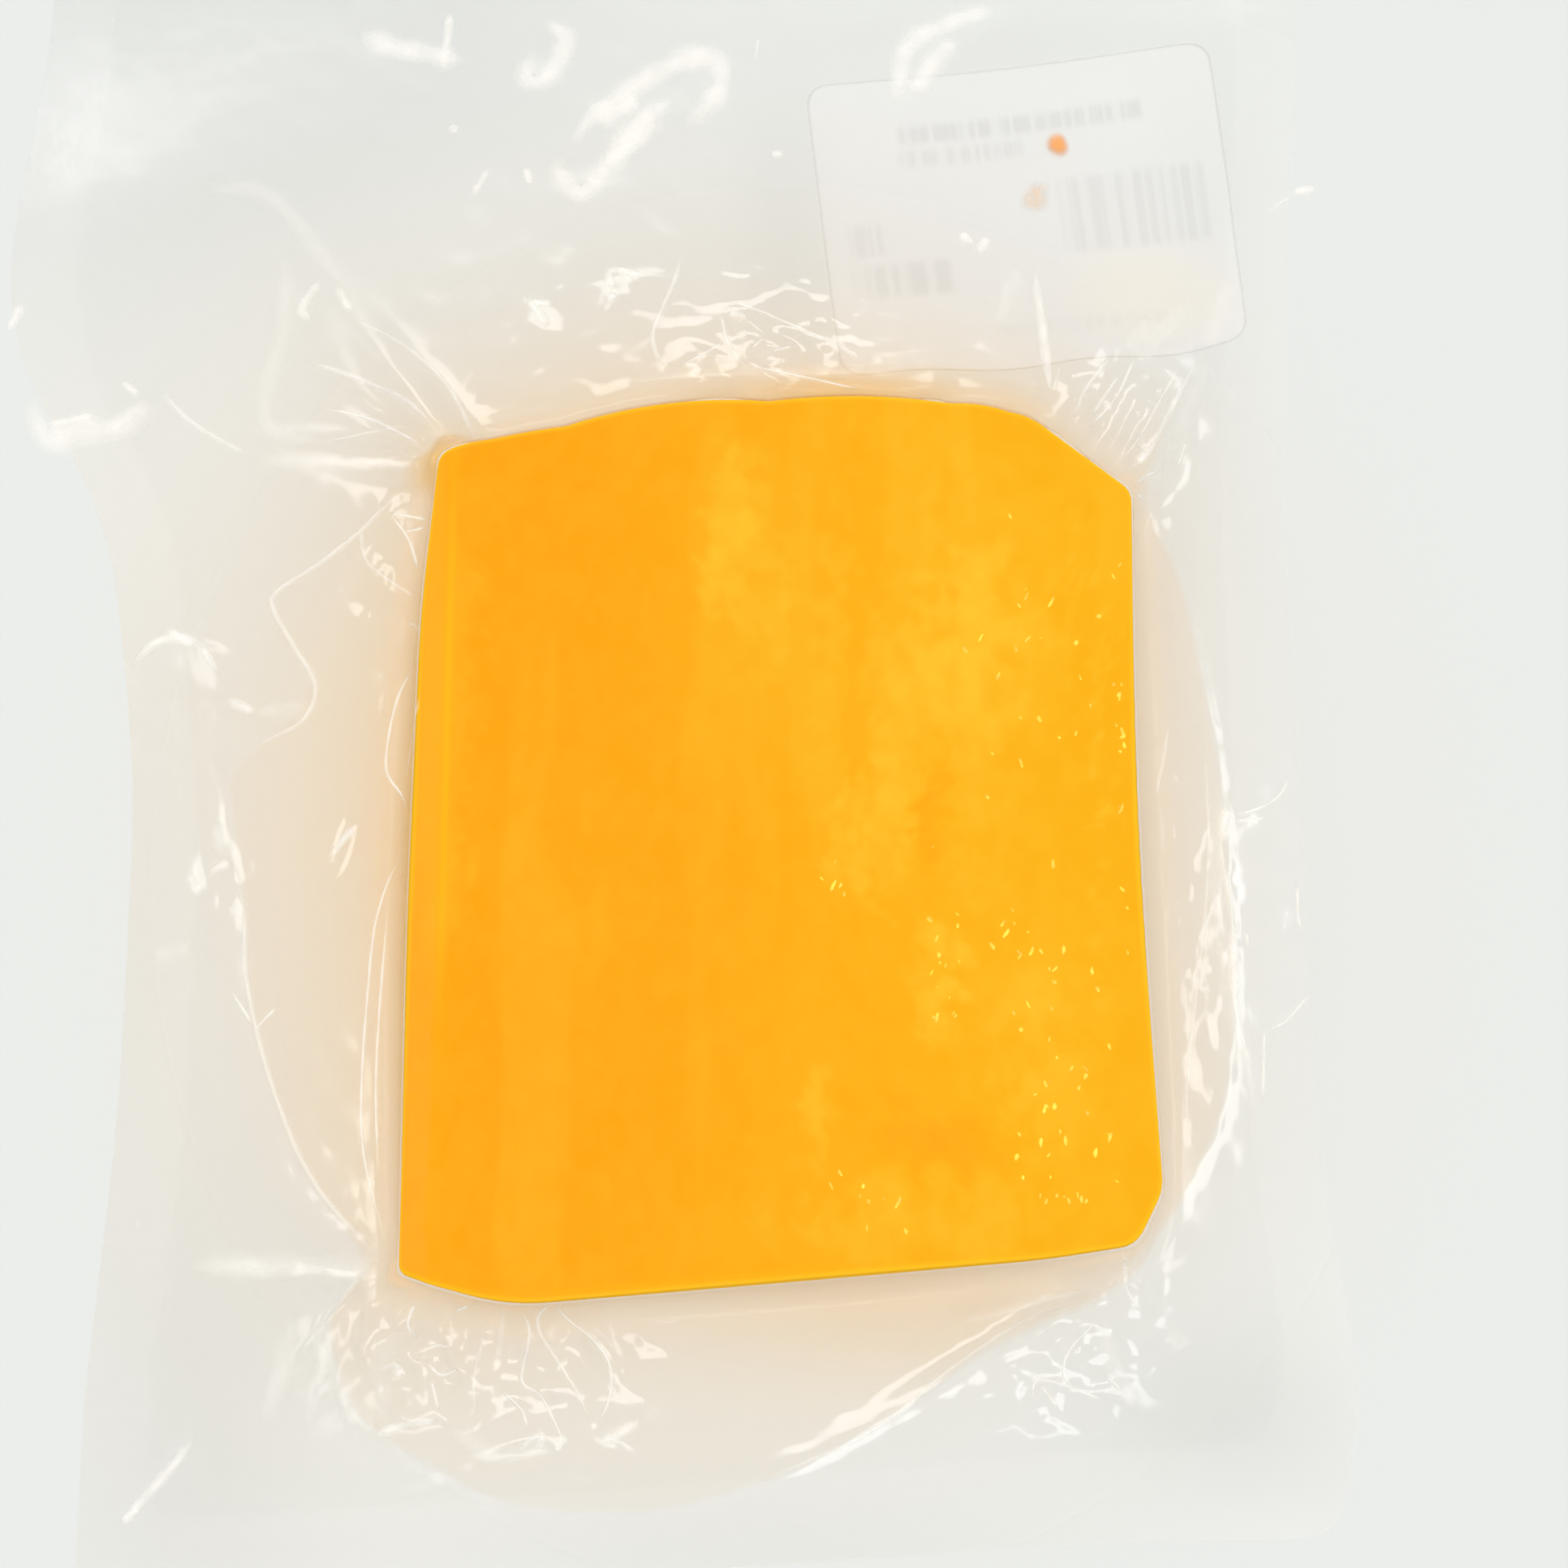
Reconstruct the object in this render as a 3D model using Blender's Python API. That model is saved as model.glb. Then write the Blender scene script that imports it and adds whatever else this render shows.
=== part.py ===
"""A vacuum-sealed block of cheddar: the sealed pack lying flat, and the scale label on the back of its bag.

The pack is one closed solid. Its top follows the block and the film that tents down from the block's edges to a
thin skirt. Its underside is flat below the block and rises to the skirt. +X is the pack's width, +Y runs from its
sealed bottom to its mouth, and the origin is on the table under the middle of the bag. The sizes below are drawn
from a point near the block's middle line, and DRAWN_MIDDLE is where the bag's middle lies in that drawing.
"""

import math

import bpy
import numpy as np

# Every size below is in millimetres, and METRE turns it to Blender's metres
METRE = 0.001
DRAWN_MIDDLE = (-3.8, 0.0, 0.0)

# Block of cheese
BLOCK_THICKNESS = 22.0
BLOCK_CENTRE = (12.0, -21.0)
EDGE_ROUND = 2.4
LEFT_EDGE_SLOPE = 4.6
LEFT_EDGE_X = -30.0
FOOT_ROUND = 1.5
# Corners, anticlockwise: x, y, length rounded off, and the bulge of the run that follows
BLOCK_CORNERS = (
    (58.5, -61.1, 1.2, 0.0),
    (56.0, -22.0, 12.0, 0.0),
    (56.7, 24.1, 1.2, 0.0),
    (40.7, 34.6, 2.5, 4.0),
    (-30.7, 30.0, 1.2, 0.0),
    (-34.8, 8.0, 6.0, 0.0),
    (-34.6, -40.0, 10.0, 0.0),
    (-33.9, -74.6, 1.2, 0.0),
    (-21.8, -77.2, 5.0, 0.0),
    (44.0, -72.4, 4.0, 0.0),
    (54.1, -70.0, 2.0, 0.0),
)
# Lump that stands out of the cut-off corner, lower than the top face: x, y, height, radius
CORNER_LUMP = (46.5, 31.6, 15.0, 5.0)

# Bag
FILM_SKIRT = 1.0
BAG_CORNERS = (
    (82.0, -108.0, 5.0, 0.0),
    (85.9, -87.0, 8.0, 0.0),
    (82.4, -62.0, 10.0, 0.0),
    (80.8, 22.0, 18.0, 0.0),
    (86.5, 118.0, 3.0, 0.0),
    (-94.0, 118.0, 4.0, 0.0),
    (-94.0, 47.0, 10.0, 0.0),
    (-82.0, 26.0, 10.0, 0.0),
    (-76.2, -12.0, 14.0, 0.0),
    (-76.2, -56.0, 12.0, 0.0),
    (-79.2, -93.0, 8.0, 0.0),
    (-79.0, -118.4, 5.0, 0.0),
)
TENT_REACH = 6.5
TENT_STEEPNESS = 2.6
FOOT_STEEPNESS = 2.2
SEAM_HEIGHT = 9.0
SKIRT_HEIGHT = 3.0
SKIRT_FALL = 22.0
WAVE_HEIGHT = 0.9
WAVE_LENGTHS = (68.0, 84.0)
# Places where the skirt stands off the table: x, y, height, spread
SKIRT_LIFTS = (
    (80.0, -101.0, 6.0, 17.0),
    (-92.0, 62.0, 9.0, 26.0),
    (48.0, 84.0, 2.0, 30.0),
    (-5.0, 112.0, 3.5, 34.0),
)
# Main folds that run out from the block's corners: from x, y, to x, y, height at the corner, half width
FOLDS = (
    (-32.0, 32.0, -60.0, 70.0, 6.5, 4.2),
    (-34.0, 30.0, -73.0, 39.0, 4.5, 4.0),
    (-35.0, -75.0, -67.0, -76.0, 5.5, 4.0),
    (-34.0, -78.0, -53.0, -100.0, 5.0, 4.2),
    (-21.0, -78.0, -18.0, -97.0, 4.0, 4.0),
    (54.0, -72.0, 2.0, -103.0, 5.0, 4.4),
    (56.0, -71.0, 58.0, -95.0, 4.0, 4.0),
    (57.5, 26.0, 74.0, 55.0, 6.5, 4.0),
    (49.0, 32.0, 60.0, 50.0, 4.5, 3.6),
    (4.0, 36.0, -5.0, 55.0, 3.5, 4.0),
)

# Scale label, glued to the back of the bag
LABEL_SIZE = (58.0, 42.5)
LABEL_CENTRE = (46.3, 70.7)
LABEL_TURN = math.radians(5.0)
LABEL_CORNER = 3.0
LABEL_THICKNESS = 0.35
LABEL_GAP = 0.45
LABEL_CELLS = (16, 12)

# Mesh density
DIRECTIONS = 148
RUN_SAMPLES = 40
TOP_INSETS = (4.4, 3.0, 1.9, 1.1, 0.5, 0.12, 0.0)
TENT_STEPS = (0.35, 0.9, 1.8, 3.2, 4.8)
SKIRT_STEPS = (0.0, 0.13, 0.26, 0.38, 0.5, 0.62, 0.74, 0.87, 1.0)
TOP_FRACTIONS = (0.4, 0.72)
FOOT_INSETS = (1.5, 0.6, 0.0)
FOOT_STEPS = (0.9, 2.4, 4.4)
FOOT_SKIRT_STEPS = (0.0, 0.15, 0.3, 0.48, 0.66, 0.83, 1.0)

CHEESE_COLOUR = (1.0, 0.42, 0.012, 1.0)
FILM_COLOUR = (0.82, 0.78, 0.70, 1.0)
PAPER_COLOUR = (0.86, 0.86, 0.84, 1.0)


def outline(corners):
    """Closed outline through corners whose ends are rounded off, each run straight or a shallow parabola."""
    spots = np.array([corner[:2] for corner in corners])
    points = []
    for index, (_, _, rounding, bulge) in enumerate(corners):
        here = spots[index]
        back = spots[index - 1] - here
        ahead = spots[(index + 1) % len(spots)] - here
        start = here + back / np.linalg.norm(back) * rounding
        end = here + ahead / np.linalg.norm(ahead) * rounding
        t = np.linspace(0, 1, 9)[:, None]
        points.append(start * (1 - t) ** 2 + here * 2 * t * (1 - t) + end * t**2)
        following = corners[(index + 1) % len(corners)][2]
        last = here + ahead - ahead / np.linalg.norm(ahead) * following
        t = np.linspace(0, 1, RUN_SAMPLES)[1:-1, None]
        outward = np.array([ahead[1], -ahead[0]]) / np.linalg.norm(ahead)
        points.append(end + (last - end) * t + outward * bulge * 4 * t * (1 - t))
    return np.concatenate(points)


def bearings(points):
    """Direction of each point as seen from the block's centre."""
    return np.arctan2(points[:, 1] - BLOCK_CENTRE[1], points[:, 0] - BLOCK_CENTRE[0])


def reach(points, directions):
    """Distance from the block's centre to an outline, in each direction."""
    around = bearings(points)
    order = np.argsort(around)
    distance = np.hypot(points[:, 0] - BLOCK_CENTRE[0], points[:, 1] - BLOCK_CENTRE[1])
    return np.interp(directions, around[order], distance[order], period=2 * math.pi)


def spread_directions(block):
    """Directions evenly spaced along the block's outline, with the nearest one moved to each named corner."""
    around = bearings(block)
    first = np.argmin(around)
    loop = np.roll(block, -first, axis=0)
    steps = np.hypot(*(np.roll(loop, -1, axis=0) - loop).T)
    travelled = np.concatenate([[0.0], np.cumsum(steps)])
    angles = np.append(bearings(loop), around[first] + 2 * math.pi)
    directions = np.interp(np.linspace(0, travelled[-1], DIRECTIONS, endpoint=False), travelled, angles)
    for corner in bearings(np.array([spot[:2] for spot in BLOCK_CORNERS + BAG_CORNERS])):
        away = np.abs((directions - corner + math.pi) % (2 * math.pi) - math.pi)
        directions[np.argmin(away)] = corner
    return np.sort((directions + math.pi) % (2 * math.pi) - math.pi)


def smooth_step(value):
    """0 below 0, 1 above 1, and a smooth rise between."""
    held = np.clip(value, 0, 1)
    return held * held * (3 - 2 * held)


def skirt_height(x, y, outside):
    """Middle of the film skirt: high at the seam, falling outwards, with slow waves and the places that lift."""
    falling = np.exp(-np.maximum(outside - TENT_REACH, 0) / SKIRT_FALL)
    height = SKIRT_HEIGHT + (SEAM_HEIGHT - SKIRT_HEIGHT) * falling
    waves = np.sin(2 * math.pi * x / WAVE_LENGTHS[0] + 0.6) * np.cos(2 * math.pi * y / WAVE_LENGTHS[1] + 0.4)
    height = height + WAVE_HEIGHT * waves * (1 - falling)
    for lift_x, lift_y, lift, spread in SKIRT_LIFTS:
        height = height + lift * np.exp(-((x - lift_x) ** 2 + (y - lift_y) ** 2) / spread**2) * (1 - falling)
    return height


def fold_height(x, y, outside):
    """Ridges of the main folds: a rounded crest along each line, dying away from the block's corner."""
    height = np.zeros_like(x)
    for from_x, from_y, to_x, to_y, crest, half_width in FOLDS:
        run = np.array([to_x - from_x, to_y - from_y])
        length = np.hypot(*run)
        along = ((x - from_x) * run[0] + (y - from_y) * run[1]) / length
        aside = ((y - from_y) * run[0] - (x - from_x) * run[1]) / length
        fade = (1 - smooth_step(along / length)) * smooth_step(along / half_width + 1)
        height = np.maximum(height, crest * fade * np.exp(-((aside / half_width) ** 2)))
    return height * smooth_step(outside / 2)


def edge_round(x):
    """Rounding of the block's top edge, wider along its sloping left side."""
    return EDGE_ROUND + (LEFT_EDGE_SLOPE - EDGE_ROUND) * smooth_step((LEFT_EDGE_X + 4 - x) / 4)


def top_surface(x, y, outside):
    """Top of the pack: the block's rounded top, the steep tent of film, then the skirt with its folds."""
    rounding = edge_round(x)
    inset = np.clip(-outside, 0, rounding)
    block = BLOCK_THICKNESS - rounding + np.sqrt(rounding**2 - (rounding - inset) ** 2)
    skirt = skirt_height(x, y, outside) + FILM_SKIRT / 2
    down = (1 - np.clip(outside / TENT_REACH, 0, 1)) ** TENT_STEEPNESS
    film = skirt + (BLOCK_THICKNESS - rounding - skirt) * down + fold_height(x, y, outside)
    lump_x, lump_y, lump_height, lump_radius = CORNER_LUMP
    away = ((x - lump_x) ** 2 + (y - lump_y) ** 2) / lump_radius**2
    lump = lump_height * np.sqrt(np.clip(1 - away, 0, 1))
    return np.where(outside <= 0, block, np.maximum(film, lump))


def under_surface(x, y, outside):
    """Underside of the pack: flat below the block, then rising along its foot to the skirt."""
    skirt = skirt_height(x, y, outside) - FILM_SKIRT / 2
    climbed = np.clip((outside + FOOT_ROUND) / (TENT_REACH + FOOT_ROUND), 0, 1)
    return skirt * (1 - (1 - climbed) ** FOOT_STEEPNESS)


def material(name, colour, roughness):
    """Plain Principled material of one colour."""
    made = bpy.data.materials.new(name)
    made.use_nodes = True
    shader = made.node_tree.nodes["Principled BSDF"]
    shader.inputs["Base Color"].default_value = colour
    shader.inputs["Roughness"].default_value = roughness
    shader.inputs["Metallic"].default_value = 0.0
    made.diffuse_color = colour
    return made


def add_piece(name, points, faces, materials, face_materials):
    """Named object from drawn points in millimetres, moved to the bag's middle, smooth apart from its sharp edges."""
    mesh = bpy.data.meshes.new(name)
    mesh.from_pydata(((points - DRAWN_MIDDLE) * METRE).tolist(), [], faces)
    for made in materials:
        mesh.materials.append(made)
    mesh.polygons.foreach_set("material_index", face_materials)
    mesh.shade_smooth()
    mesh.set_sharp_from_angle(angle=math.radians(40))
    piece = bpy.data.objects.new(name, mesh)
    bpy.context.scene.collection.objects.link(piece)
    return piece


def ring_points(directions, distances, block_reach, surface):
    """Rings of points about the block's centre, one for each row of distances, lifted to a surface."""
    x = BLOCK_CENTRE[0] + distances * np.cos(directions)
    y = BLOCK_CENTRE[1] + distances * np.sin(directions)
    z = surface(x, y, distances - block_reach)
    return np.stack([x, y, z], axis=2)


def ring_distances(block_reach, bag_reach, fractions, insets, tent_steps, skirt_steps):
    """Distance of each ring from the block's centre, in each direction, from the middle out to the bag's edge."""
    rows = [block_reach * fraction for fraction in fractions]
    rows += [block_reach - inset for inset in insets]
    rows += [block_reach + step for step in tent_steps]
    foot = block_reach + TENT_REACH
    rows += [foot + (bag_reach - foot) * step for step in skirt_steps]
    return np.array(rows)


def sealed_pack():
    """Sealed bag and the block in it, one closed solid of rings: the top, the thin edge and the underside."""
    block = outline(BLOCK_CORNERS)
    directions = spread_directions(block)
    block_reach = reach(block, directions)
    bag_reach = reach(outline(BAG_CORNERS), directions)
    top = ring_points(
        directions,
        ring_distances(block_reach, bag_reach, TOP_FRACTIONS, TOP_INSETS, TENT_STEPS, SKIRT_STEPS),
        block_reach,
        top_surface,
    )
    under = ring_points(
        directions,
        ring_distances(block_reach, bag_reach, TOP_FRACTIONS[-1:], FOOT_INSETS, FOOT_STEPS, FOOT_SKIRT_STEPS),
        block_reach,
        under_surface,
    )
    rings = np.concatenate([top, under[::-1]])
    count = len(directions)
    middle = [[*BLOCK_CENTRE, BLOCK_THICKNESS], [*BLOCK_CENTRE, 0.0]]
    points = np.concatenate([rings.reshape(-1, 3), middle])
    column = np.arange(count)
    following = (column + 1) % count
    faces = []
    for row in range(len(rings) - 1):
        inner = row * count
        outer = inner + count
        faces += np.stack([inner + column, outer + column, outer + following, inner + following], 1).tolist()
    last = (len(rings) - 1) * count
    top_middle = len(points) - 2
    faces += [[top_middle, here, ahead] for here, ahead in zip(column.tolist(), following.tolist())]
    faces += [[top_middle + 1, last + ahead, last + here] for here, ahead in zip(column.tolist(), following.tolist())]
    on_cheese = len(TOP_FRACTIONS) + len(TOP_INSETS)
    under_cheese = len(rings) - 1 - len(FOOT_INSETS)
    row_material = [0 if row < on_cheese or row >= under_cheese else 1 for row in range(len(rings) - 1)]
    face_materials = np.concatenate([np.repeat(row_material, count), np.zeros(2 * count, int)])
    materials = (material("cheddar", CHEESE_COLOUR, 0.35), material("clear_film", FILM_COLOUR, 0.12))
    return add_piece("sealed_pack", points, faces, materials, face_materials)


def label_grid():
    """Plan of the label as a grid of points, its four corners drawn in to round them, turned onto its place."""
    across = np.linspace(-0.5, 0.5, LABEL_CELLS[0] + 1) * LABEL_SIZE[0]
    along = np.linspace(-0.5, 0.5, LABEL_CELLS[1] + 1) * LABEL_SIZE[1]
    u, v = np.meshgrid(across, along, indexing="ij")
    drawn_in = LABEL_CORNER * (1 - math.sqrt(0.5))
    for row in (0, -1):
        for column in (0, -1):
            u[row, column] -= np.sign(u[row, column]) * drawn_in
            v[row, column] -= np.sign(v[row, column]) * drawn_in
    x = LABEL_CENTRE[0] + u * math.cos(LABEL_TURN) - v * math.sin(LABEL_TURN)
    y = LABEL_CENTRE[1] + u * math.sin(LABEL_TURN) + v * math.cos(LABEL_TURN)
    return x, y


def scale_label():
    """Thin paper label that follows the back of the skirt: its two faces and the edge between them."""
    x, y = label_grid()
    plan = np.stack([x.ravel(), y.ravel()], axis=1)
    distance = np.hypot(plan[:, 0] - BLOCK_CENTRE[0], plan[:, 1] - BLOCK_CENTRE[1])
    outside = distance - reach(outline(BLOCK_CORNERS), bearings(plan))
    face = under_surface(plan[:, 0], plan[:, 1], outside) - LABEL_GAP
    upper = np.column_stack([plan, face])
    lower = np.column_stack([plan, face - LABEL_THICKNESS])
    points = np.concatenate([upper, lower])
    index = np.arange(len(plan)).reshape(x.shape)
    corners = (index[:-1, :-1], index[1:, :-1], index[1:, 1:], index[:-1, 1:])
    cells = np.stack([corner.ravel() for corner in corners], axis=1)
    rim = np.concatenate([index[:-1, 0], index[-1, :-1], index[:0:-1, -1], index[0, :0:-1]])
    ahead = np.roll(rim, -1)
    below = len(plan)
    edge = np.stack([rim, rim + below, ahead + below, ahead], axis=1)
    faces = cells.tolist() + (cells[:, ::-1] + below).tolist() + edge.tolist()
    paper = material("label_paper", PAPER_COLOUR, 0.6)
    return add_piece("scale_label", points, faces, (paper,), np.zeros(len(faces), int))


def main():
    for piece in list(bpy.data.objects):
        bpy.data.objects.remove(piece, do_unlink=True)
    sealed_pack()
    scale_label()


main()
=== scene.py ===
"""Looks of a vacuum-sealed block of cheddar: its cheese, two sheets of clear film, creases and label.

Every shape is worked out in millimetres about the block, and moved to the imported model's frame where its
mesh is made. +X runs across the bag, +Y from its sealed bottom to its mouth, +Z up from the table.
"""

import math

import bpy
import numpy as np
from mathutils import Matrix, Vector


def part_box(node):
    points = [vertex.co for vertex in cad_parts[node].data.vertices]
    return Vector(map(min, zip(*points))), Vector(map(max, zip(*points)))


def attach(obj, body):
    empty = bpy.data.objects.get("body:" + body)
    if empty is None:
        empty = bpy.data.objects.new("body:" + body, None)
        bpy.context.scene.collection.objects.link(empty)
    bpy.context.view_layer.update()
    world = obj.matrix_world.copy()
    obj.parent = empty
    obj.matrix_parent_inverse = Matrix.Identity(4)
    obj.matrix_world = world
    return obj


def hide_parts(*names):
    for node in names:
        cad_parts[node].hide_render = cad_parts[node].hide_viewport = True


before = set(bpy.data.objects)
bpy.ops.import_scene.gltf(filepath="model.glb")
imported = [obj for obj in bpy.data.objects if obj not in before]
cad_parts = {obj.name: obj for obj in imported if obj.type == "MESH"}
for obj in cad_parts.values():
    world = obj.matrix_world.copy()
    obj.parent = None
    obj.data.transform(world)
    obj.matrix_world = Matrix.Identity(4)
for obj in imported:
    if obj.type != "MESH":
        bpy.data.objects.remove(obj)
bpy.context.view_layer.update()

bl_info = {
    "name": "Vacuum-packed cheddar",
    "version": (1, 0, 0),
    "blender": (4, 5, 0),
    "location": "View3D > Sidebar > Cheddar",
    "description": "Cheese, clear film, creases and back label of a vacuum-sealed block of cheddar",
    "category": "Object",
}

METRE = 0.001
# The pack is drawn about its block, and this place in the drawing is the frame's origin
DRAWN_MIDDLE = np.array([-3.8, 0.0, 0.0])
# Half the photograph's width in pixels
PHOTO_HALF = 966

# Block of cheese
BLOCK_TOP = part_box("sealed_pack")[1][2] / METRE
BLOCK_CENTRE = (12.0, -21.0)
EDGE_ROUND = 1.3
# Left of this line the top slopes down: its place across, and the slope
LEFT_CREASE_X = -30.6
LEFT_SLOPE = 0.5
LEFT_EASE = 0.6
FOOT_ROUND = 1.5
# How far the film's top, and the cheese's top under it, lie below the block's
FILM_DROP = 0.3
CHEESE_DROP = 0.55
# The cheese inside its film: gap, lowest point, and how far its sides stand out
CHEESE_GAP = 0.35
CHEESE_FOOT = 0.4
SIDE_BULGE = 0.4
SIDE_RINGS = 32
# Corners, anticlockwise: x, y, length rounded off, and the bulge of the run that follows
BLOCK_CORNERS = (
    (58.7, -64.3, 1.6, 0.0),
    (56.7, -18.0, 16.0, 0.0),
    (57.2, 24.6, 1.4, 0.0),
    (43.9, 34.9, 2.5, 0.4),
    (22.0, 38.3, 12.0, 1.4),
    (-21.5, 32.7, 5.0, 0.2),
    (-33.2, 29.9, 1.6, 0.0),
    (-35.2, 10.0, 8.0, 0.0),
    (-35.8, -30.0, 10.0, 0.0),
    (-35.6, -74.4, 1.0, 0.0),
    (-21.8, -78.0, 5.0, 0.0),
    (44.0, -72.5, 4.0, 0.0),
    (55.3, -70.8, 2.0, 0.0),
)
# Lump out of the cut-off corner: x, y, height, radius
CORNER_LUMP = (46.5, 31.6, 14.8, 4.8)
# Shallow groove on the top face: from x, y, to x, y, depth, half width
TOP_GROOVE = (22.0, -53.0, 43.0, -69.0, 0.22, 0.7)
# Shallow dip and unevenness of the top face: x, y, depth, radius, then height and length of the waves
TOP_DIP = (44.0, -55.0, 0.25, 14.0)
TOP_WAVES = (0.06, 22.0)

# Bag and the pocket of film round the block
BAG_CORNERS = (
    (82.0, -108.0, 5.0, 0.0),
    (85.9, -87.0, 8.0, 0.0),
    (82.4, -62.0, 10.0, 0.0),
    (80.8, 22.0, 18.0, 0.0),
    (86.5, 118.0, 3.0, 0.0),
    (-94.0, 118.0, 4.0, 0.0),
    (-94.0, 47.0, 10.0, 0.0),
    (-82.0, 26.0, 10.0, 0.0),
    (-76.2, -12.0, 14.0, 0.0),
    (-76.2, -56.0, 12.0, 0.0),
    (-79.2, -93.0, 8.0, 0.0),
    (-79.0, -118.4, 5.0, 0.0),
)
POCKET_CORNERS = (
    (69.5, -56.0, 5.0, 0.0),
    (72.0, -40.0, 8.0, 0.0),
    (70.5, -10.0, 8.0, 0.0),
    (66.0, 16.0, 6.0, 0.0),
    (60.0, 27.5, 1.5, 0.0),
    (68.0, 44.0, 6.0, 0.0),
    (38.0, 54.0, 8.0, 0.0),
    (-4.0, 62.0, 14.0, 0.0),
    (-30.0, 56.0, 8.0, 0.0),
    (-33.0, 34.0, 1.5, 0.0),
    (-43.0, 27.0, 3.0, 0.0),
    (-51.0, 18.5, 3.0, 0.0),
    (-59.0, 15.0, 3.0, 0.0),
    (-57.5, 8.5, 2.5, 0.0),
    (-51.5, 3.5, 3.0, 0.0),
    (-53.5, -2.5, 2.5, 0.0),
    (-63.0, -10.5, 3.0, 0.0),
    (-60.5, -26.0, 6.0, 0.0),
    (-59.0, -44.0, 6.0, 0.0),
    (-52.0, -62.0, 6.0, 0.0),
    (-40.5, -74.5, 1.5, 0.0),
    (-47.0, -81.0, 3.0, 0.0),
    (-43.0, -94.5, 4.0, 0.0),
    (-24.0, -105.5, 8.0, 0.0),
    (-4.0, -106.0, 6.0, 0.0),
    (14.0, -100.5, 5.0, 0.0),
    (28.0, -92.5, 5.0, 0.0),
    (38.5, -84.5, 4.0, 0.0),
    (53.0, -78.5, 1.5, 0.0),
    (62.5, -67.5, 2.0, 0.0),
)
# Tent of film down the block's side: how far out it reaches, and how steep it is above and below the seam
TENT_REACH = 6.5
TENT_STEEPNESS = 2.6
FOOT_STEEPNESS = 2.2
# Middle of the film margin: its height at the seam and far out, and the distance over which it falls
SEAM_HEIGHT = 9.0
SKIRT_HEIGHT = 3.0
SKIRT_FALL = 22.0
# Slow waves of the margin: height, lengths along X and Y, phases
WAVE_HEIGHT = 0.9
WAVE_LENGTHS = (68.0, 84.0)
WAVE_PHASES = (0.6, 0.4)
# Places where the margin lifts: x, y, height, radius
SKIRT_LIFTS = (
    (80.0, -101.0, 6.0, 17.0),
    (-92.0, 62.0, 9.0, 26.0),
    (48.0, 84.0, 2.0, 30.0),
    (80.0, 97.0, 3.0, 22.0),
    (-5.0, 112.0, 3.5, 34.0),
)
# Main folds out of the block's corners: from x, y, to x, y, height at the corner, half width
FOLDS = (
    (-32.0, 32.0, -60.0, 70.0, 6.0, 3.2),
    (-34.0, 31.0, -52.0, 45.0, 3.6, 1.8),
    (-34.0, 30.0, -73.0, 39.0, 4.0, 3.0),
    (-35.0, -75.0, -67.0, -76.0, 5.0, 3.0),
    (-34.0, -78.0, -53.0, -100.0, 4.6, 3.0),
    (-28.0, -78.0, -30.0, -96.0, 3.0, 2.0),
    (-21.0, -78.0, -18.0, -97.0, 3.4, 2.6),
    (-14.0, -78.0, -9.0, -93.0, 2.6, 2.0),
    (54.0, -72.0, 2.0, -103.0, 4.6, 3.4),
    (56.0, -71.0, 58.0, -95.0, 3.8, 2.8),
    (57.5, 26.0, 74.0, 55.0, 6.0, 3.0),
    (54.0, 29.0, 67.0, 52.0, 3.6, 1.6),
    (49.0, 32.0, 60.0, 50.0, 4.2, 2.6),
    (4.0, 36.0, -5.0, 55.0, 3.0, 3.0),
    (32.0, 36.0, 32.0, 45.0, 2.6, 2.0),
)
# Heat seals: width at the bag's sides and at its ends, whose corners lie past this distance along the bag
SEAL_WIDTH = (9.0, 11.0)
END_CORNERS = 100.0
# Ridge round the pocket's edge: height and half width
POCKET_RIDGE = (0.35, 1.1)
# Gaps from the middle of the margin up to the front sheet and down to the back one
SHEET_GAPS = (0.15, 0.45)
# Shares of milky haze in one sheet: open film, heat seal, and full painted warm glow of light from the cheese
HAZE_OPEN = 0.045
HAZE_SEAL = 0.035
HAZE_GLOW = 0.27
# Painted warm glow of light from the cheese, by bearing in degrees: strength, reach, share left past the
# pocket's edge, close glow
GLOW_ROUND = (
    (-180.0, 0.98, 36.0, 0.65, 1.80),
    (-150.0, 0.92, 36.0, 0.55, 1.40),
    (-110.0, 0.40, 48.0, 0.30, 0.60),
    (-55.0, 0.45, 40.0, 0.15, 0.35),
    (-20.0, 0.64, 15.0, 0.20, 0.10),
    (20.0, 0.64, 15.0, 0.20, 0.10),
    (60.0, 0.75, 16.0, 0.80, 0.40),
    (95.0, 0.92, 17.0, 1.00, 0.70),
    (135.0, 0.90, 22.0, 1.00, 1.00),
    (165.0, 1.00, 34.0, 0.80, 1.60),
)
CLOSE_GLOW_REACH = 2.4
# Deeper painted glow at places: x, y, half width, half height, strength
GLOW_DEEPER = (
    (27.0, -81.0, 24.0, 8.0, 0.30),
    (-35.0, 30.5, 3.5, 3.0, 1.20),
    (21.0, 41.5, 15.0, 3.2, 1.10),
    (43.0, 37.5, 5.0, 4.0, 0.50),
)
# Painted shade on the film: x, y, half width, half height, strength
SHADES = (
    (70.0, -94.0, 17.0, 11.0, 0.95),
    (-78.0, 104.0, 62.0, 48.0, 1.60),
    (-66.0, -92.0, 20.0, 34.0, 1.00),
    (-80.0, -30.0, 12.0, 50.0, 0.70),
    (0.0, -112.0, 60.0, 9.0, 0.50),
    (46.0, 74.0, 44.0, 30.0, 0.45),
    (72.0, 66.0, 8.0, 26.0, 0.35),
    (40.0, 96.0, 36.0, 5.0, 0.25),
    (12.0, 64.0, 6.5, 24.0, 0.45),
)
# Share of its gloss that film keeps where it clings to the cheese, and how far out it clings
CLING = 0.03
CLING_REACH = (3.0, 9.0)

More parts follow.
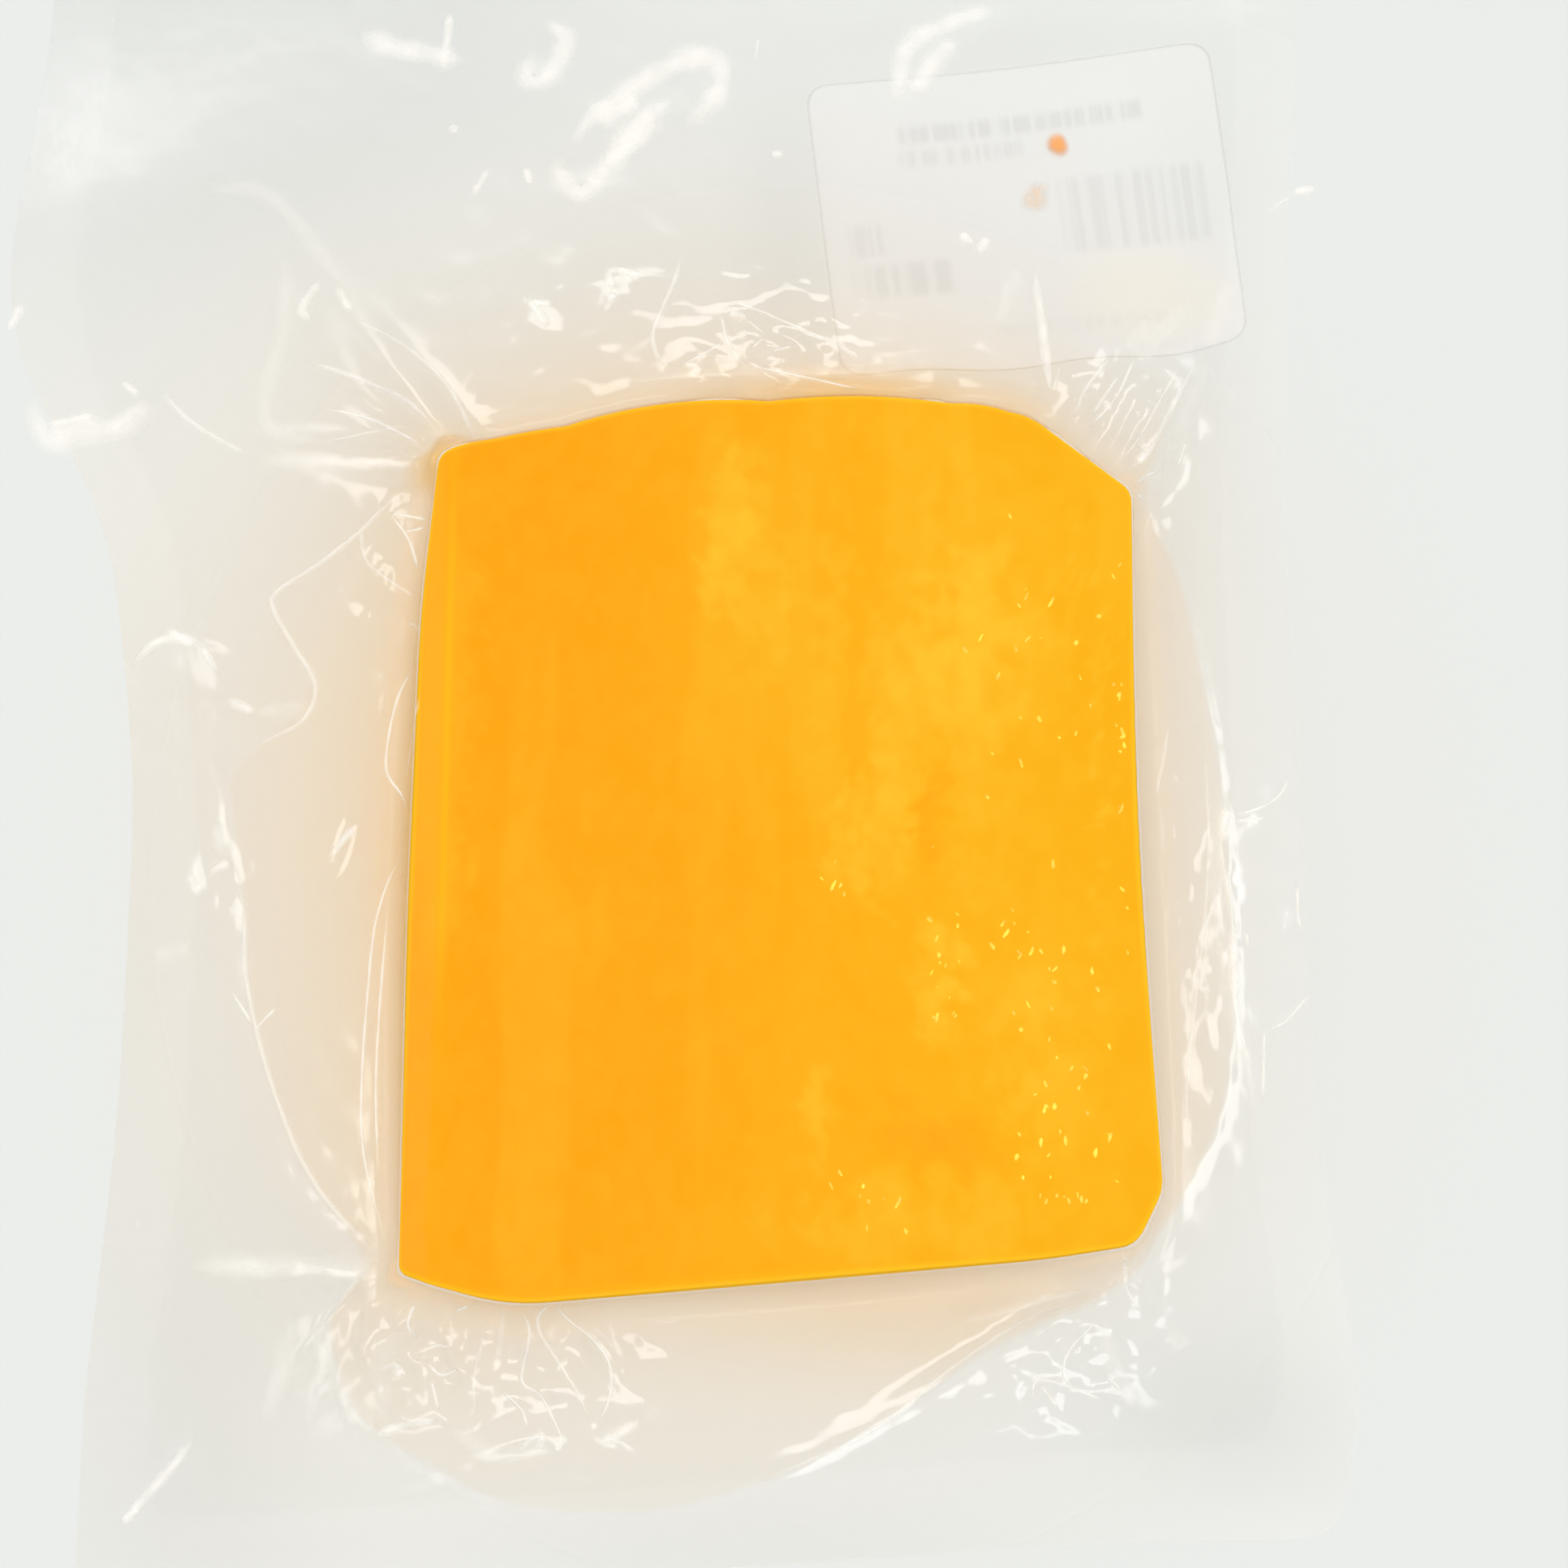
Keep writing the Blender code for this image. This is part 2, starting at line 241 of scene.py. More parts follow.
# Small facets of film that catch the light: x, y, length, width, turn in degrees
FACETS = (
    (-87.0, 37.0, 9.0, 3.0, 5.0),
    (-70.0, 5.5, 6.0, 3.0, -25.0),
    (-68.0, -25.0, 4.0, 3.0, 60.0),
    (-46.6, -20.2, 4.6, 2.2, 50.0),
    (-45.0, 93.5, 6.0, 4.0, -10.0),
    (-21.5, 91.0, 6.0, 3.0, 70.0),
    (-13.0, 76.0, 8.0, 5.0, 45.0),
    (-4.0, 87.0, 8.0, 5.0, 45.0),
    (36.0, 97.0, 11.0, 5.0, 15.0),
    (30.0, 89.0, 6.0, 3.0, 75.0),
    (-21.6, 54.0, 4.0, 2.4, -70.0),
    (-11.0, 59.0, 4.0, 2.2, 75.0),
    (11.7, 49.8, 6.0, 3.4, -25.0),
    (-36.0, -84.0, 5.0, 3.0, 80.0),
    (-36.0, -95.0, 6.0, 2.6, 15.0),
    (-19.8, -97.5, 6.0, 2.4, 5.0),
    (-68.6, -101.6, 8.0, 2.4, 50.0),
    (75.4, -14.8, 5.0, 2.8, 40.0),
    (80.0, -28.5, 4.0, 2.0, 60.0),
    (46.0, -87.0, 5.0, 2.6, 55.0),
    (54.0, -89.0, 5.0, 2.2, -60.0),
)
# Length of the film's broad, middle and small crinkles, and the height of the crinkles outside the patches
CRINKLE_LENGTHS = (13.0, 6.5, 3.8)
CRINKLE_FAINT = 0.10
# Crinkled patches of film: x, y, radius, height
CRINKLED = (
    (-85.0, 38.0, 13.0, 0.8),
    (-70.0, 3.0, 12.0, 0.6),
    (-66.0, -24.0, 9.0, 0.5),
    (-36.0, -88.0, 16.0, 0.9),
    (-14.0, -88.0, 13.0, 0.7),
    (49.0, -88.0, 12.0, 0.9),
    (77.0, -30.0, 18.0, 0.8),
    (12.0, 48.0, 12.0, 0.9),
    (-40.0, 18.0, 10.0, 0.6),
    (-20.0, 88.0, 34.0, 0.5),
    (62.0, 42.0, 13.0, 0.6),
)

# Creases that stand out of the film, by kind: half width, height, milkiness of the crest (partly painted
# highlight), spread of its beads of painted glint
CREASE_KINDS = {
    "thread": (0.30, 0.15, 0.78, 0.35),
    "fine": (0.38, 0.12, 0.34, 0.25),
    "crease": (0.52, 0.22, 0.50, 0.25),
    "fold": (0.65, 0.18, 0.22, 0.20),
    "pleat": (1.70, 0.40, 0.20, 0.25),
    "wedge": (2.00, 0.35, 0.34, 0.20),
    "glint": (0.90, 0.22, 0.80, 0.50),
    "flare": (2.30, 0.30, 0.72, 0.35),
}
# Routes of the creases as pixels of the photograph, laid on the film along the camera's rays
CREASES = (
    # Below the block, on the left
    ("thread", ((683, 1603), (664, 1622), (668, 1645), (692, 1684), (712, 1716), (728, 1753))),
    ("thread", ((683, 1603), (698, 1624), (735, 1655), (753, 1690), (747, 1735), (728, 1757))),
    ("thread", ((635, 1607), (653, 1640), (643, 1700), (668, 1722), (694, 1778), (682, 1784))),
    ("thread", ((618, 1713), (643, 1738), (650, 1762))),
    ("fine", ((598, 1640), (584, 1700), (586, 1740))),
    ("fold", ((620, 1612), (618, 1640), (611, 1692))),
    ("thread", ((512, 1604), (503, 1632), (515, 1650))),
    ("pleat", ((492, 1636), (472, 1675), (472, 1735), (465, 1758))),
    ("glint", ((466, 1690), (488, 1682), (492, 1702))),
    ("thread", ((512, 1668), (538, 1658), (556, 1661))),
    ("thread", ((525, 1676), (543, 1694), (566, 1687))),
    ("thread", ((531, 1698), (541, 1737))),
    ("thread", ((562, 1616), (579, 1608))),
    ("glint", ((462, 1768), (497, 1756), (541, 1750))),
    ("pleat", ((541, 1750), (598, 1786), (645, 1790), (690, 1784))),
    ("glint", ((640, 1784), (668, 1768), (660, 1790))),
    ("glint", ((736, 1780), (792, 1749))),
    ("wedge", ((482, 1568), (380, 1559), (225, 1560))),
    ("pleat", ((388, 1632), (408, 1685), (465, 1772))),
    ("pleat", ((362, 1628), (338, 1715), (324, 1760))),
    ("glint", ((242, 1768), (205, 1815), (150, 1876))),
    ("glint", ((150, 1876), (172, 1856))),
    # Left of the block
    ("crease", ((283, 1060), (300, 1120), (305, 1215), (340, 1350), (392, 1463), (482, 1566))),
    ("thread", ((313, 1270), (341, 1240))),
    ("thread", ((311, 1262), (286, 1222))),
    ("thread", ((505, 1035), (473, 1100), (456, 1190), (446, 1400), (480, 1545))),
    ("thread", ((478, 1110), (464, 1310), (466, 1460))),
    ("thread", ((513, 812), (487, 870), (476, 945), (495, 980), (503, 1005))),
    ("fine", ((517, 855), (500, 960))),
    ("crease", ((521, 594), (477, 622), (440, 658), (392, 695), (342, 728), (337, 750), (365, 800),
                (389, 845), (372, 888), (318, 918), (292, 940))),
    ("fine", ((445, 637), (453, 692), (514, 738))),
    ("thread", ((478, 630), (503, 664), (516, 705))),
    ("thread", ((480, 632), (526, 640))),
    ("thread", ((497, 656), (524, 650))),
    ("fine", ((500, 765), (515, 775), (514, 790))),
    ("glint", ((160, 822), (195, 790), (238, 790), (274, 834))),
    ("glint", ((205, 775), (238, 796))),
    ("glint", ((280, 862), (315, 878))),
    ("pleat", ((315, 876), (380, 872))),
    ("pleat", ((268, 1010), (282, 1060))),
    ("glint", ((232, 1075), (246, 1104))),
    ("glint", ((258, 1075), (283, 1062))),
    ("glint", ((404, 1060), (425, 1032), (440, 1018))),
    ("pleat", ((188, 1180), (240, 1165))),
    # Fan at the upper left corner
    ("crease", ((430, 392), (494, 422), (553, 476), (588, 545))),
    ("glint", ((395, 345), (372, 380), (385, 395))),
    ("glint", ((415, 352), (432, 385))),
    ("crease", ((372, 445), (424, 460), (497, 492), (540, 530))),
    ("thread", ((395, 503), (455, 516), (524, 550))),
    ("crease", ((195, 478), (240, 523), (310, 563))),
    ("pleat", ((310, 563), (400, 574), (520, 570))),
    ("fine", ((393, 545), (470, 530), (505, 522))),
    ("pleat", ((352, 300), (352, 400), (330, 475), (335, 530), (400, 548))),
    ("pleat", ((240, 235), (330, 240), (405, 325), (430, 360))),
    ("flare", ((33, 486), (58, 540), (100, 532), (146, 526), (192, 489))),
    ("glint", ((55, 525), (120, 512))),
    ("glint", ((150, 470), (172, 488))),
    ("glint", ((10, 408), (28, 375))),
    # Above the block
    ("crease", ((838, 313), (833, 340), (812, 390), (804, 415), (812, 442), (832, 453))),
    ("thread", ((832, 453), (860, 440), (893, 420))),
    ("thread", ((893, 368), (942, 386), (1030, 423))),
    ("glint", ((898, 385), (920, 394))),
    ("thread", ((888, 385), (897, 422), (915, 451))),
    ("thread", ((910, 448), (950, 456), (992, 465), (1066, 481))),
    ("thread", ((978, 426), (948, 434))),
    ("thread", ((925, 430), (942, 416))),
    ("thread", ((918, 392), (942, 412))),
    ("thread", ((985, 408), (1020, 421))),
    ("crease", ((1030, 423), (1060, 442))),
    ("glint", ((755, 360), (752, 335), (780, 338), (786, 352))),
    ("glint", ((745, 385), (756, 360))),
    ("glint", ((650, 368), (668, 392), (672, 405))),
    ("glint", ((652, 372), (680, 375))),
    ("flare", ((438, 38), (480, 58), (530, 66), (577, 78))),
    ("glint", ((553, 12), (553, 35), (545, 88))),
    ("flare", ((668, 22), (697, 50), (676, 92), (650, 98), (660, 60))),
    ("flare", ((700, 190), (688, 210), (716, 238), (748, 205), (800, 158), (828, 162))),
    ("flare", ((700, 190), (735, 140), (830, 80), (880, 75), (885, 112), (835, 168))),
    ("flare", ((735, 150), (790, 120))),
    ("flare", ((745, 205), (790, 150), (830, 120))),
    ("glint", ((555, 155), (563, 163))),
    ("glint", ((582, 242), (602, 208))),
    ("glint", ((648, 205), (654, 228))),
    ("glint", ((950, 190), (965, 190))),
    ("fine", ((935, 45), (930, 78))),
    ("flare", ((1105, 128), (1118, 60), (1165, 30), (1235, 8))),
    ("flare", ((1125, 118), (1150, 75), (1180, 45))),
    # Fan at the cut-off corner, up over the label
    ("glint", ((1275, 332), (1284, 400), (1295, 488))),
    ("fine", ((1306, 452), (1297, 486))),
    ("pleat", ((1258, 330), (1228, 402))),
    ("crease", ((1372, 437), (1340, 475), (1322, 514))),
    ("thread", ((1400, 436), (1376, 488), (1340, 529))),
    ("thread", ((1381, 459), (1344, 514))),
    ("thread", ((1456, 446), (1426, 498), (1400, 544), (1370, 579))),
    ("crease", ((1478, 440), (1447, 495), (1413, 560), (1382, 583))),
    ("pleat", ((1488, 438), (1460, 518), (1432, 575))),
    ("thread", ((1462, 542), (1451, 576))),
    ("glint", ((1402, 552), (1413, 547))),
    ("glint", ((1401, 570), (1410, 556))),
    ("pleat", ((1516, 345), (1488, 430))),
    ("pleat", ((1464, 374), (1405, 440))),
    ("pleat", ((1425, 395), (1385, 432))),
    ("thread", ((1396, 601), (1410, 588), (1428, 581))),
    ("thread", ((1398, 607), (1413, 619))),
    ("glint", ((1182, 288), (1200, 300))),
    ("glint", ((1205, 312), (1218, 292))),
    ("glint", ((1592, 237), (1622, 232))),
    ("fine", ((1560, 262), (1592, 240))),
    # Right of the block
    ("thread", ((1592, 952), (1572, 984), (1532, 1002), (1520, 996))),
    ("glint", ((1512, 992), (1507, 1025), (1516, 1034))),
    ("thread", ((1520, 1012), (1560, 1008))),
    ("crease", ((1514, 985), (1504, 1045), (1518, 1132), (1522, 1242), (1549, 1338))),
    ("glint", ((1519, 1135), (1522, 1240))),
    ("thread", ((1558, 1262), (1556, 1356))),
    ("thread", ((1616, 1222), (1584, 1258), (1562, 1268))),
    ("thread", ((1598, 1088), (1600, 1134), (1607, 1148))),
    ("thread", ((1536, 1148), (1537, 1167))),
    ("pleat", ((1512, 930), (1500, 1110), (1548, 1395))),
    ("fine", ((1484, 900), (1488, 1080), (1462, 1360), (1488, 1430))),
    ("fine", ((1441, 890), (1424, 985))),
    # Below the block, on the right
    ("thread", ((1357, 1622), (1318, 1664), (1311, 1694), (1328, 1712))),
    ("thread", ((1271, 1731), (1283, 1700), (1366, 1727))),
    ("thread", ((1281, 1705), (1304, 1733))),
    ("pleat", ((1357, 1632), (1375, 1690), (1402, 1740))),
    ("thread", ((1366, 1697), (1381, 1713))),
    ("crease", ((1386, 1540), (1387, 1588), (1410, 1618))),
    ("fold", ((1350, 1588), (1280, 1604), (1180, 1632))),
    ("fine", ((1345, 1600), (1260, 1629), (1170, 1688), (1070, 1765), (920, 1832))),
    ("pleat", ((1440, 1640), (1462, 1662))),
)
# Points across a crease and the step along it, its painted warm glow and its gloss, and the steps that lay it
# on the film
CREASE_COLUMNS = 9
CREASE_STEP = 0.45
CREASE_GLOW = 0.08
CREASE_GLOSS = 0.35
RAY_STEPS = 14

# Paler and deeper patches of the cheese's top: x, y, half width, half height, lean, edge, strength
CHEESE_PATCHES = (
    (36.0, 4.0, 12.5, 12.0, 0.10, 3.0, 0.55),
    (35.0, 18.0, 9.0, 14.0, 0.12, 1.6, 0.25),
    (24.5, -18.0, 5.6, 11.0, 0.10, 3.2, 0.55),
    (31.4, -17.0, 2.4, 6.0, 0.10, 2.4, -0.70),
    (37.0, -17.0, 6.0, 11.0, 0.0, 2.0, 0.30),
    (31.2, -38.0, 2.6, 8.0, 0.0, 2.6, 0.65),
    (43.0, -49.0, 7.0, 15.0, 0.0, 2.0, 0.38),
    (6.0, 19.0, 3.6, 13.0, 0.05, 2.0, 0.55),
    (11.5, 10.0, 2.2, 10.0, 0.05, 2.2, 0.35),
    (19.0, 12.0, 2.4, 19.0, 0.10, 1.8, 0.25),
    (26.0, -66.5, 18.0, 5.6, -0.45, 2.4, 0.30),
    (17.0, -54.0, 1.8, 6.0, 0.1, 2.4, 0.40),
    (32.0, -57.5, 10.0, 4.0, -0.6, 2.4, -0.60),
    (52.6, -10.0, 0.5, 34.0, 0.03, 1.6, 0.50),
    (49.6, 10.0, 0.6, 18.0, 0.03, 1.6, 0.30),
    (-27.0, -2.0, 1.0, 30.0, 0.02, 1.6, 0.30),
    (-16.0, 5.0, 12.0, 27.0, 0.0, 1.2, -0.40),
    (-19.5, -44.0, 6.0, 15.0, 0.0, 1.8, -0.60),
    (-6.0, -50.0, 13.0, 18.0, 0.1, 1.2, -0.40),
    (2.0, -22.0, 9.0, 12.0, 0.1, 1.4, -0.35),
)
# Painted yellow glints on the block's top, drawn as flecks of fat: middle x, y, spread x, y, count
GLINT_FLECKS = (
    (54.5, -6.0, 0.3, 13.0, 16),
    (47.0, 2.0, 3.0, 9.0, 10),
    (41.0, -34.0, 3.0, 2.5, 14),
    (46.5, -50.0, 3.4, 8.0, 34),
    (45.6, -64.9, 2.6, 0.4, 9),
    (23.5, -65.0, 3.0, 2.0, 10),
    (31.5, -36.0, 1.2, 5.0, 16),
    (18.5, -27.0, 1.0, 1.0, 6),
    (42.0, -2.0, 2.5, 10.0, 12),
)
FLECK_RADII = (0.10, 0.28)
FLECK_HEIGHT = 0.10
FLECK_LEAN = 0.6
FLECK_LENGTHS = (1.0, 2.6)

# Scale label, glued to the back of the bag
LABEL_SIZE = (58.0, 44.3)
LABEL_CENTRE = (46.3, 70.1)
LABEL_TURN = math.radians(6.5)
LABEL_CORNER = 3.0
LABEL_THICKNESS = 0.12
LABEL_FILM_GAP = 0.08
# Its lower edge: how far its middle hangs down, and the height and length of its waves
LABEL_BOW = 1.4
LABEL_WAVE = (0.4, 24.0)
# Painted warm light on one of its corners: x, y, half width, half height
WARM_LIT_CORNER = (64.0, 58.0, 17.0, 10.0)
# Printed fields: x, y from the label's middle, half width, half height, stripes to a millimetre, darkness
PRINT_FIELDS = (
    (1.0, 13.4, 17.5, 1.3, 0.9, 0.18),
    (-8.0, 9.8, 9.0, 1.2, 0.9, 0.14),
    (15.4, -1.2, 10.4, 5.6, 0.8, 0.14),
    (-18.6, -8.4, 7.0, 2.6, 0.6, 0.17),
    (-22.6, -2.0, 2.8, 2.4, 0.9, 0.13),
    (6.0, -17.6, 13.0, 0.8, 1.1, 0.07),
)
PRINT_SOFTNESS = 0.8
# Drops of cheese caught in the film: x, y, radius, height, unevenness, and how dense the middle is
CRUMBS = ((51.1, 80.3, 2.0, 0.5, 0.10, 0.85), (47.8, 72.4, 2.6, 0.12, 0.15, 0.45))

# Profile of a drop: share of its radius and of its height, from its top to the middle of its underside
DOME_OUT = (0.02, 0.3, 0.55, 0.75, 0.9, 1.0, 0.98, 0.02)
DOME_LIFT = (1.0, 0.93, 0.75, 0.5, 0.25, 0.05, -0.1, -0.1)
DOME_SIDES = 16

# Finish of the cheese: where across the block its colour turns brighter as painted light from the right, and
# the shares of its uneven colours
LIGHT_RUN = (-28.0, 52.0)
STREAK_SHARE = 0.18
BLOT_SHARE = 0.09
SPECK_SHARE = 0.06
# Painted highlight down the left crease and painted glow along the low edge: x, y, half width, half height of
# where they show
CREASE_HIGHLIGHT = (LEFT_CREASE_X, -8.0, 9.0, 46.0)
LOW_EDGE_GLOW = (6.0, -75.0, 48.0, 7.0)
# Finish of the film: roughness near the block and far out, most gloss, and the share of it left far out
FILM_ROUGHNESS = (0.16, 0.40)
FILM_GLOSS = 0.30
FAR_GLOSS = 0.25

# Windows that the film mirrors: places in metres, width and height in metres, radiance
WINDOWS = ((-0.12, 1.03, 0.55), (-1.03, -0.10, 0.55), (1.03, -0.15, 0.55), (0.05, -1.05, 0.55))
WINDOW_SIZE = (0.85, 0.40)
WINDOW_RADIANCE = 5.0
# Lamp overhead that lights the pack and isn't mirrored in it
LAMP_PLACE = (0.0, 0.0, 1.6)
LAMP_SIZE = (2.0, 2.0)
# How far the floor lies under the pack
FLOOR_DROP = 0.02

# Mesh density: directions round the film and round the cheese, points of a straight run, rings by zone
DIRECTIONS = 690
CHEESE_DIRECTIONS = 480
RUN_SAMPLES = 40
FRONT_RINGS = (10, 12, 26, 30, 6, 40, 14)
BACK_RINGS = (4, 8, 14, 12, 2, 22, 10)
TOP_RINGS = 46
LABEL_DIRECTIONS = 240


def outline(corners):
    """Closed outline through corners whose ends are rounded off, each run straight or a shallow parabola."""
    spots = np.array([corner[:2] for corner in corners])
    points = []
    for index, (_, _, rounding, bulge) in enumerate(corners):
        here = spots[index]
        back = spots[index - 1] - here
        ahead = spots[(index + 1) % len(spots)] - here
        start = here + back / np.linalg.norm(back) * rounding
        end = here + ahead / np.linalg.norm(ahead) * rounding
        t = np.linspace(0, 1, 9)[:, None]
        points.append(start * (1 - t) ** 2 + here * 2 * t * (1 - t) + end * t**2)
        following = corners[(index + 1) % len(corners)][2]
        last = here + ahead - ahead / np.linalg.norm(ahead) * following
        t = np.linspace(0, 1, RUN_SAMPLES)[1:-1, None]
        outward = np.array([ahead[1], -ahead[0]]) / np.linalg.norm(ahead)
        points.append(end + (last - end) * t + outward * bulge * 4 * t * (1 - t))
    return np.concatenate(points)


def bearings(x, y):
    """Direction of each point as seen from the block's centre."""
    return np.arctan2(y - BLOCK_CENTRE[1], x - BLOCK_CENTRE[0])


def reach(points, directions):
    """Distance from the block's centre to an outline in each direction."""
    around = bearings(points[:, 0], points[:, 1])
    order = np.argsort(around)
    distance = np.hypot(points[:, 0] - BLOCK_CENTRE[0], points[:, 1] - BLOCK_CENTRE[1])
    return np.interp(directions, around[order], distance[order], period=2 * math.pi)


def seal_corners():
    """The bag's corners drawn in by the width of the heat seals."""
    side, end = SEAL_WIDTH
    return tuple(
        (x - math.copysign(side, x), y - math.copysign(end, y) * (abs(y) > END_CORNERS), *rest)
        for x, y, *rest in BAG_CORNERS
    )


BLOCK_OUTLINE = outline(BLOCK_CORNERS)
POCKET_OUTLINE = outline(POCKET_CORNERS)
SEAL_OUTLINE = outline(seal_corners())
BAG_OUTLINE = outline(BAG_CORNERS)


def smooth_step(value):
    """0 below 0, 1 above 1, and a smooth rise between."""
    held = np.clip(value, 0, 1)
    return held * held * (3 - 2 * held)


def distances(x, y):
    """How far points lie past the block, the pocket and the seal's inner edge, on rays from the centre."""
    directions = bearings(x, y)
    away = np.hypot(x - BLOCK_CENTRE[0], y - BLOCK_CENTRE[1])
    return tuple(away - reach(edge, directions) for edge in (BLOCK_OUTLINE, POCKET_OUTLINE, SEAL_OUTLINE))


def skirt_height(x, y, outside):
    """Middle of the film margin: high at the seam, falling outwards, with slow waves and lifted places."""
    falling = np.exp(-np.maximum(outside - TENT_REACH, 0) / SKIRT_FALL)
    height = SKIRT_HEIGHT + (SEAM_HEIGHT - SKIRT_HEIGHT) * falling
    turn_x, turn_y = (
        2 * math.pi * along / length + phase for along, length, phase in zip((x, y), WAVE_LENGTHS, WAVE_PHASES)
    )
    waves = np.sin(turn_x) * np.cos(turn_y)
    height = height + WAVE_HEIGHT * waves * (1 - falling)
    for lift_x, lift_y, lift, spread in SKIRT_LIFTS:
        height = height + lift * np.exp(-((x - lift_x) ** 2 + (y - lift_y) ** 2) / spread**2) * (1 - falling)
    return height


def fold_height(x, y, outside):
    """Ridges of the main folds: a rounded crest along each line, dying away from the block's corner."""
    height = np.zeros_like(x)
    for from_x, from_y, to_x, to_y, crest, half_width in FOLDS:
        run = np.array([to_x - from_x, to_y - from_y])
        length = np.hypot(*run)
        along = ((x - from_x) * run[0] + (y - from_y) * run[1]) / length
        aside = ((y - from_y) * run[0] - (x - from_x) * run[1]) / length
        fade = (1 - smooth_step(along / length)) * smooth_step(along / half_width + 1)
        height = np.maximum(height, crest * fade * np.exp(-((aside / half_width) ** 2)))
    return height * smooth_step(outside / 2)


def facet_slope(x, y):
    """Gradient that turns film at x, y halfway between the eye above the pack and the nearer window."""
    stage = bpy.context.scene.cheddar_stage
    here = np.array([x, y, SKIRT_HEIGHT]) - DRAWN_MIDDLE
    eye = np.array(stage.camera_place) / METRE - here
    best = None
    for place in WINDOWS:
        light = np.array(place) / METRE - here
        half = eye / np.linalg.norm(eye) + light / np.linalg.norm(light)
        slope = -half[:2] / half[2]
        if best is None or np.hypot(*slope) < np.hypot(*best):
            best = slope
    return best


def facet_height(x, y):
    """Facets: at each place a short ramp of the slope that catches a window, cut off round an ellipse."""
    height = np.zeros_like(x)
    for middle_x, middle_y, length, width, turn in FACETS:
        slope = facet_slope(middle_x, middle_y)
        dx = x - middle_x
        dy = y - middle_y
        c, s = math.cos(math.radians(turn)), math.sin(math.radians(turn))
        along = (dx * c + dy * s) / length
        aside = (dy * c - dx * s) / width
        height += (slope[0] * dx + slope[1] * dy) * np.exp(-((along**2 + aside**2) ** 2))
    return height


def crinkle(x, y, wave_length, seed):
    """Ridged waves: sines of about one length in random directions, summed, whose zero lines are crests."""
    draw = np.random.default_rng(seed)
    total = np.zeros_like(x)
    for turn, phase, stretch in draw.uniform(0, 1, (8, 3)):
        k = 2 * math.pi / wave_length * (0.7 + 0.7 * stretch)
        angle = 2 * math.pi * turn
        total += np.sin(k * (x * math.cos(angle) + y * math.sin(angle)) + 2 * math.pi * phase)
    return 1 - 2 * np.abs(total) / 4


def crinkle_height(x, y):
    """Crinkles of the film: ridged waves of three lengths, strong in the patches and faint elsewhere."""
    patches = np.zeros_like(x)
    for middle_x, middle_y, radius, height in CRINKLED:
        patches += height * np.exp(-((x - middle_x) ** 2 + (y - middle_y) ** 2) / radius**2)
    broad, middle, small = (crinkle(x, y, length, 11 + index) for index, length in enumerate(CRINKLE_LENGTHS))
    return (CRINKLE_FAINT + patches) * (0.6 * broad + 0.25 * middle) + 0.14 * patches * small


def edge_drop(x):
    """Drop of the block's edge below its top: its rounding, and a slope that starts gently at the crease."""
    past = np.maximum(LEFT_CREASE_X - x, 0)
    return EDGE_ROUND + LEFT_SLOPE * past**2 / (past + LEFT_EASE)


def block_surface(x, y, outside, drop):
    """Top of the block: level, with a groove and a dip, rounded over at the edge, and lowered by a drop."""
    inset = np.clip(-outside, 0, EDGE_ROUND)
    height = BLOCK_TOP - drop - edge_drop(x) + np.sqrt(EDGE_ROUND**2 - (EDGE_ROUND - inset) ** 2)
    from_x, from_y, to_x, to_y, depth, half_width = TOP_GROOVE
    run = np.array([to_x - from_x, to_y - from_y])
    length = np.hypot(*run)
    along = ((x - from_x) * run[0] + (y - from_y) * run[1]) / length**2
    aside = ((y - from_y) * run[0] - (x - from_x) * run[1]) / length
    ends = smooth_step(4 * along) * smooth_step(4 * (1 - along))
    groove = depth * ends * np.exp(-((aside / half_width) ** 2))
    dip_x, dip_y, dip, spread = TOP_DIP
    dip = dip * np.exp(-((x - dip_x) ** 2 + (y - dip_y) ** 2) / spread**2)
    wave_height, wave_length = TOP_WAVES
    waves = wave_height * (crinkle(x, y * 0.6, wave_length, 3) - 1)
    return height + (waves - groove - dip) * smooth_step(inset / 2)


def seal_fade(past_seal):
    """1 on the open film and 0 on the heat seal, where the two sheets are one."""
    return 1 - smooth_step((past_seal + 5) / 5)


def film_front(x, y):
    """Front sheet: the block's top, a steep tent of film, then the margin with folds, facets and crinkles."""
    outside, past_pocket, past_seal = distances(x, y)
    fade = seal_fade(past_seal)
    height = skirt_height(x, y, outside) + SHEET_GAPS[0] * fade
    loose = smooth_step((outside - 1) / 5)
    relief = (facet_height(x, y) + crinkle_height(x, y)) * loose * (0.35 + 0.65 * fade)
    relief += fold_height(x, y, outside) * fade
    relief += ridge_height(x, y, past_pocket) * loose
    down = (1 - np.clip(outside / TENT_REACH, 0, 1)) ** TENT_STEEPNESS
    edge = BLOCK_TOP - FILM_DROP - edge_drop(x)
    film = height + (edge - height) * down + relief
    lump_x, lump_y, lump_height, lump_radius = CORNER_LUMP
    away = ((x - lump_x) ** 2 + (y - lump_y) ** 2) / (lump_radius + 0.3) ** 2
    lump = (lump_height + 0.2) * np.sqrt(np.clip(1 - away, 0, 1))
    return np.where(outside <= 0, block_surface(x, y, outside, FILM_DROP), np.maximum(film, lump))


def film_back(x, y):
    """Back sheet: flat below the block, rising along its foot, then close under the front sheet."""
    outside, _, past_seal = distances(x, y)
    fade = seal_fade(past_seal)
    skirt = skirt_height(x, y, outside) - SHEET_GAPS[1] * fade
    loose = smooth_step((outside - 1) / 5)
    skirt = skirt + 0.35 * (facet_height(x, y) + crinkle_height(x, y)) * loose * (1 - fade)
    climbed = np.clip((outside + FOOT_ROUND) / (TENT_REACH + FOOT_ROUND), 0, 1)
    return np.maximum(skirt * (1 - (1 - climbed) ** FOOT_STEEPNESS), 0.0)


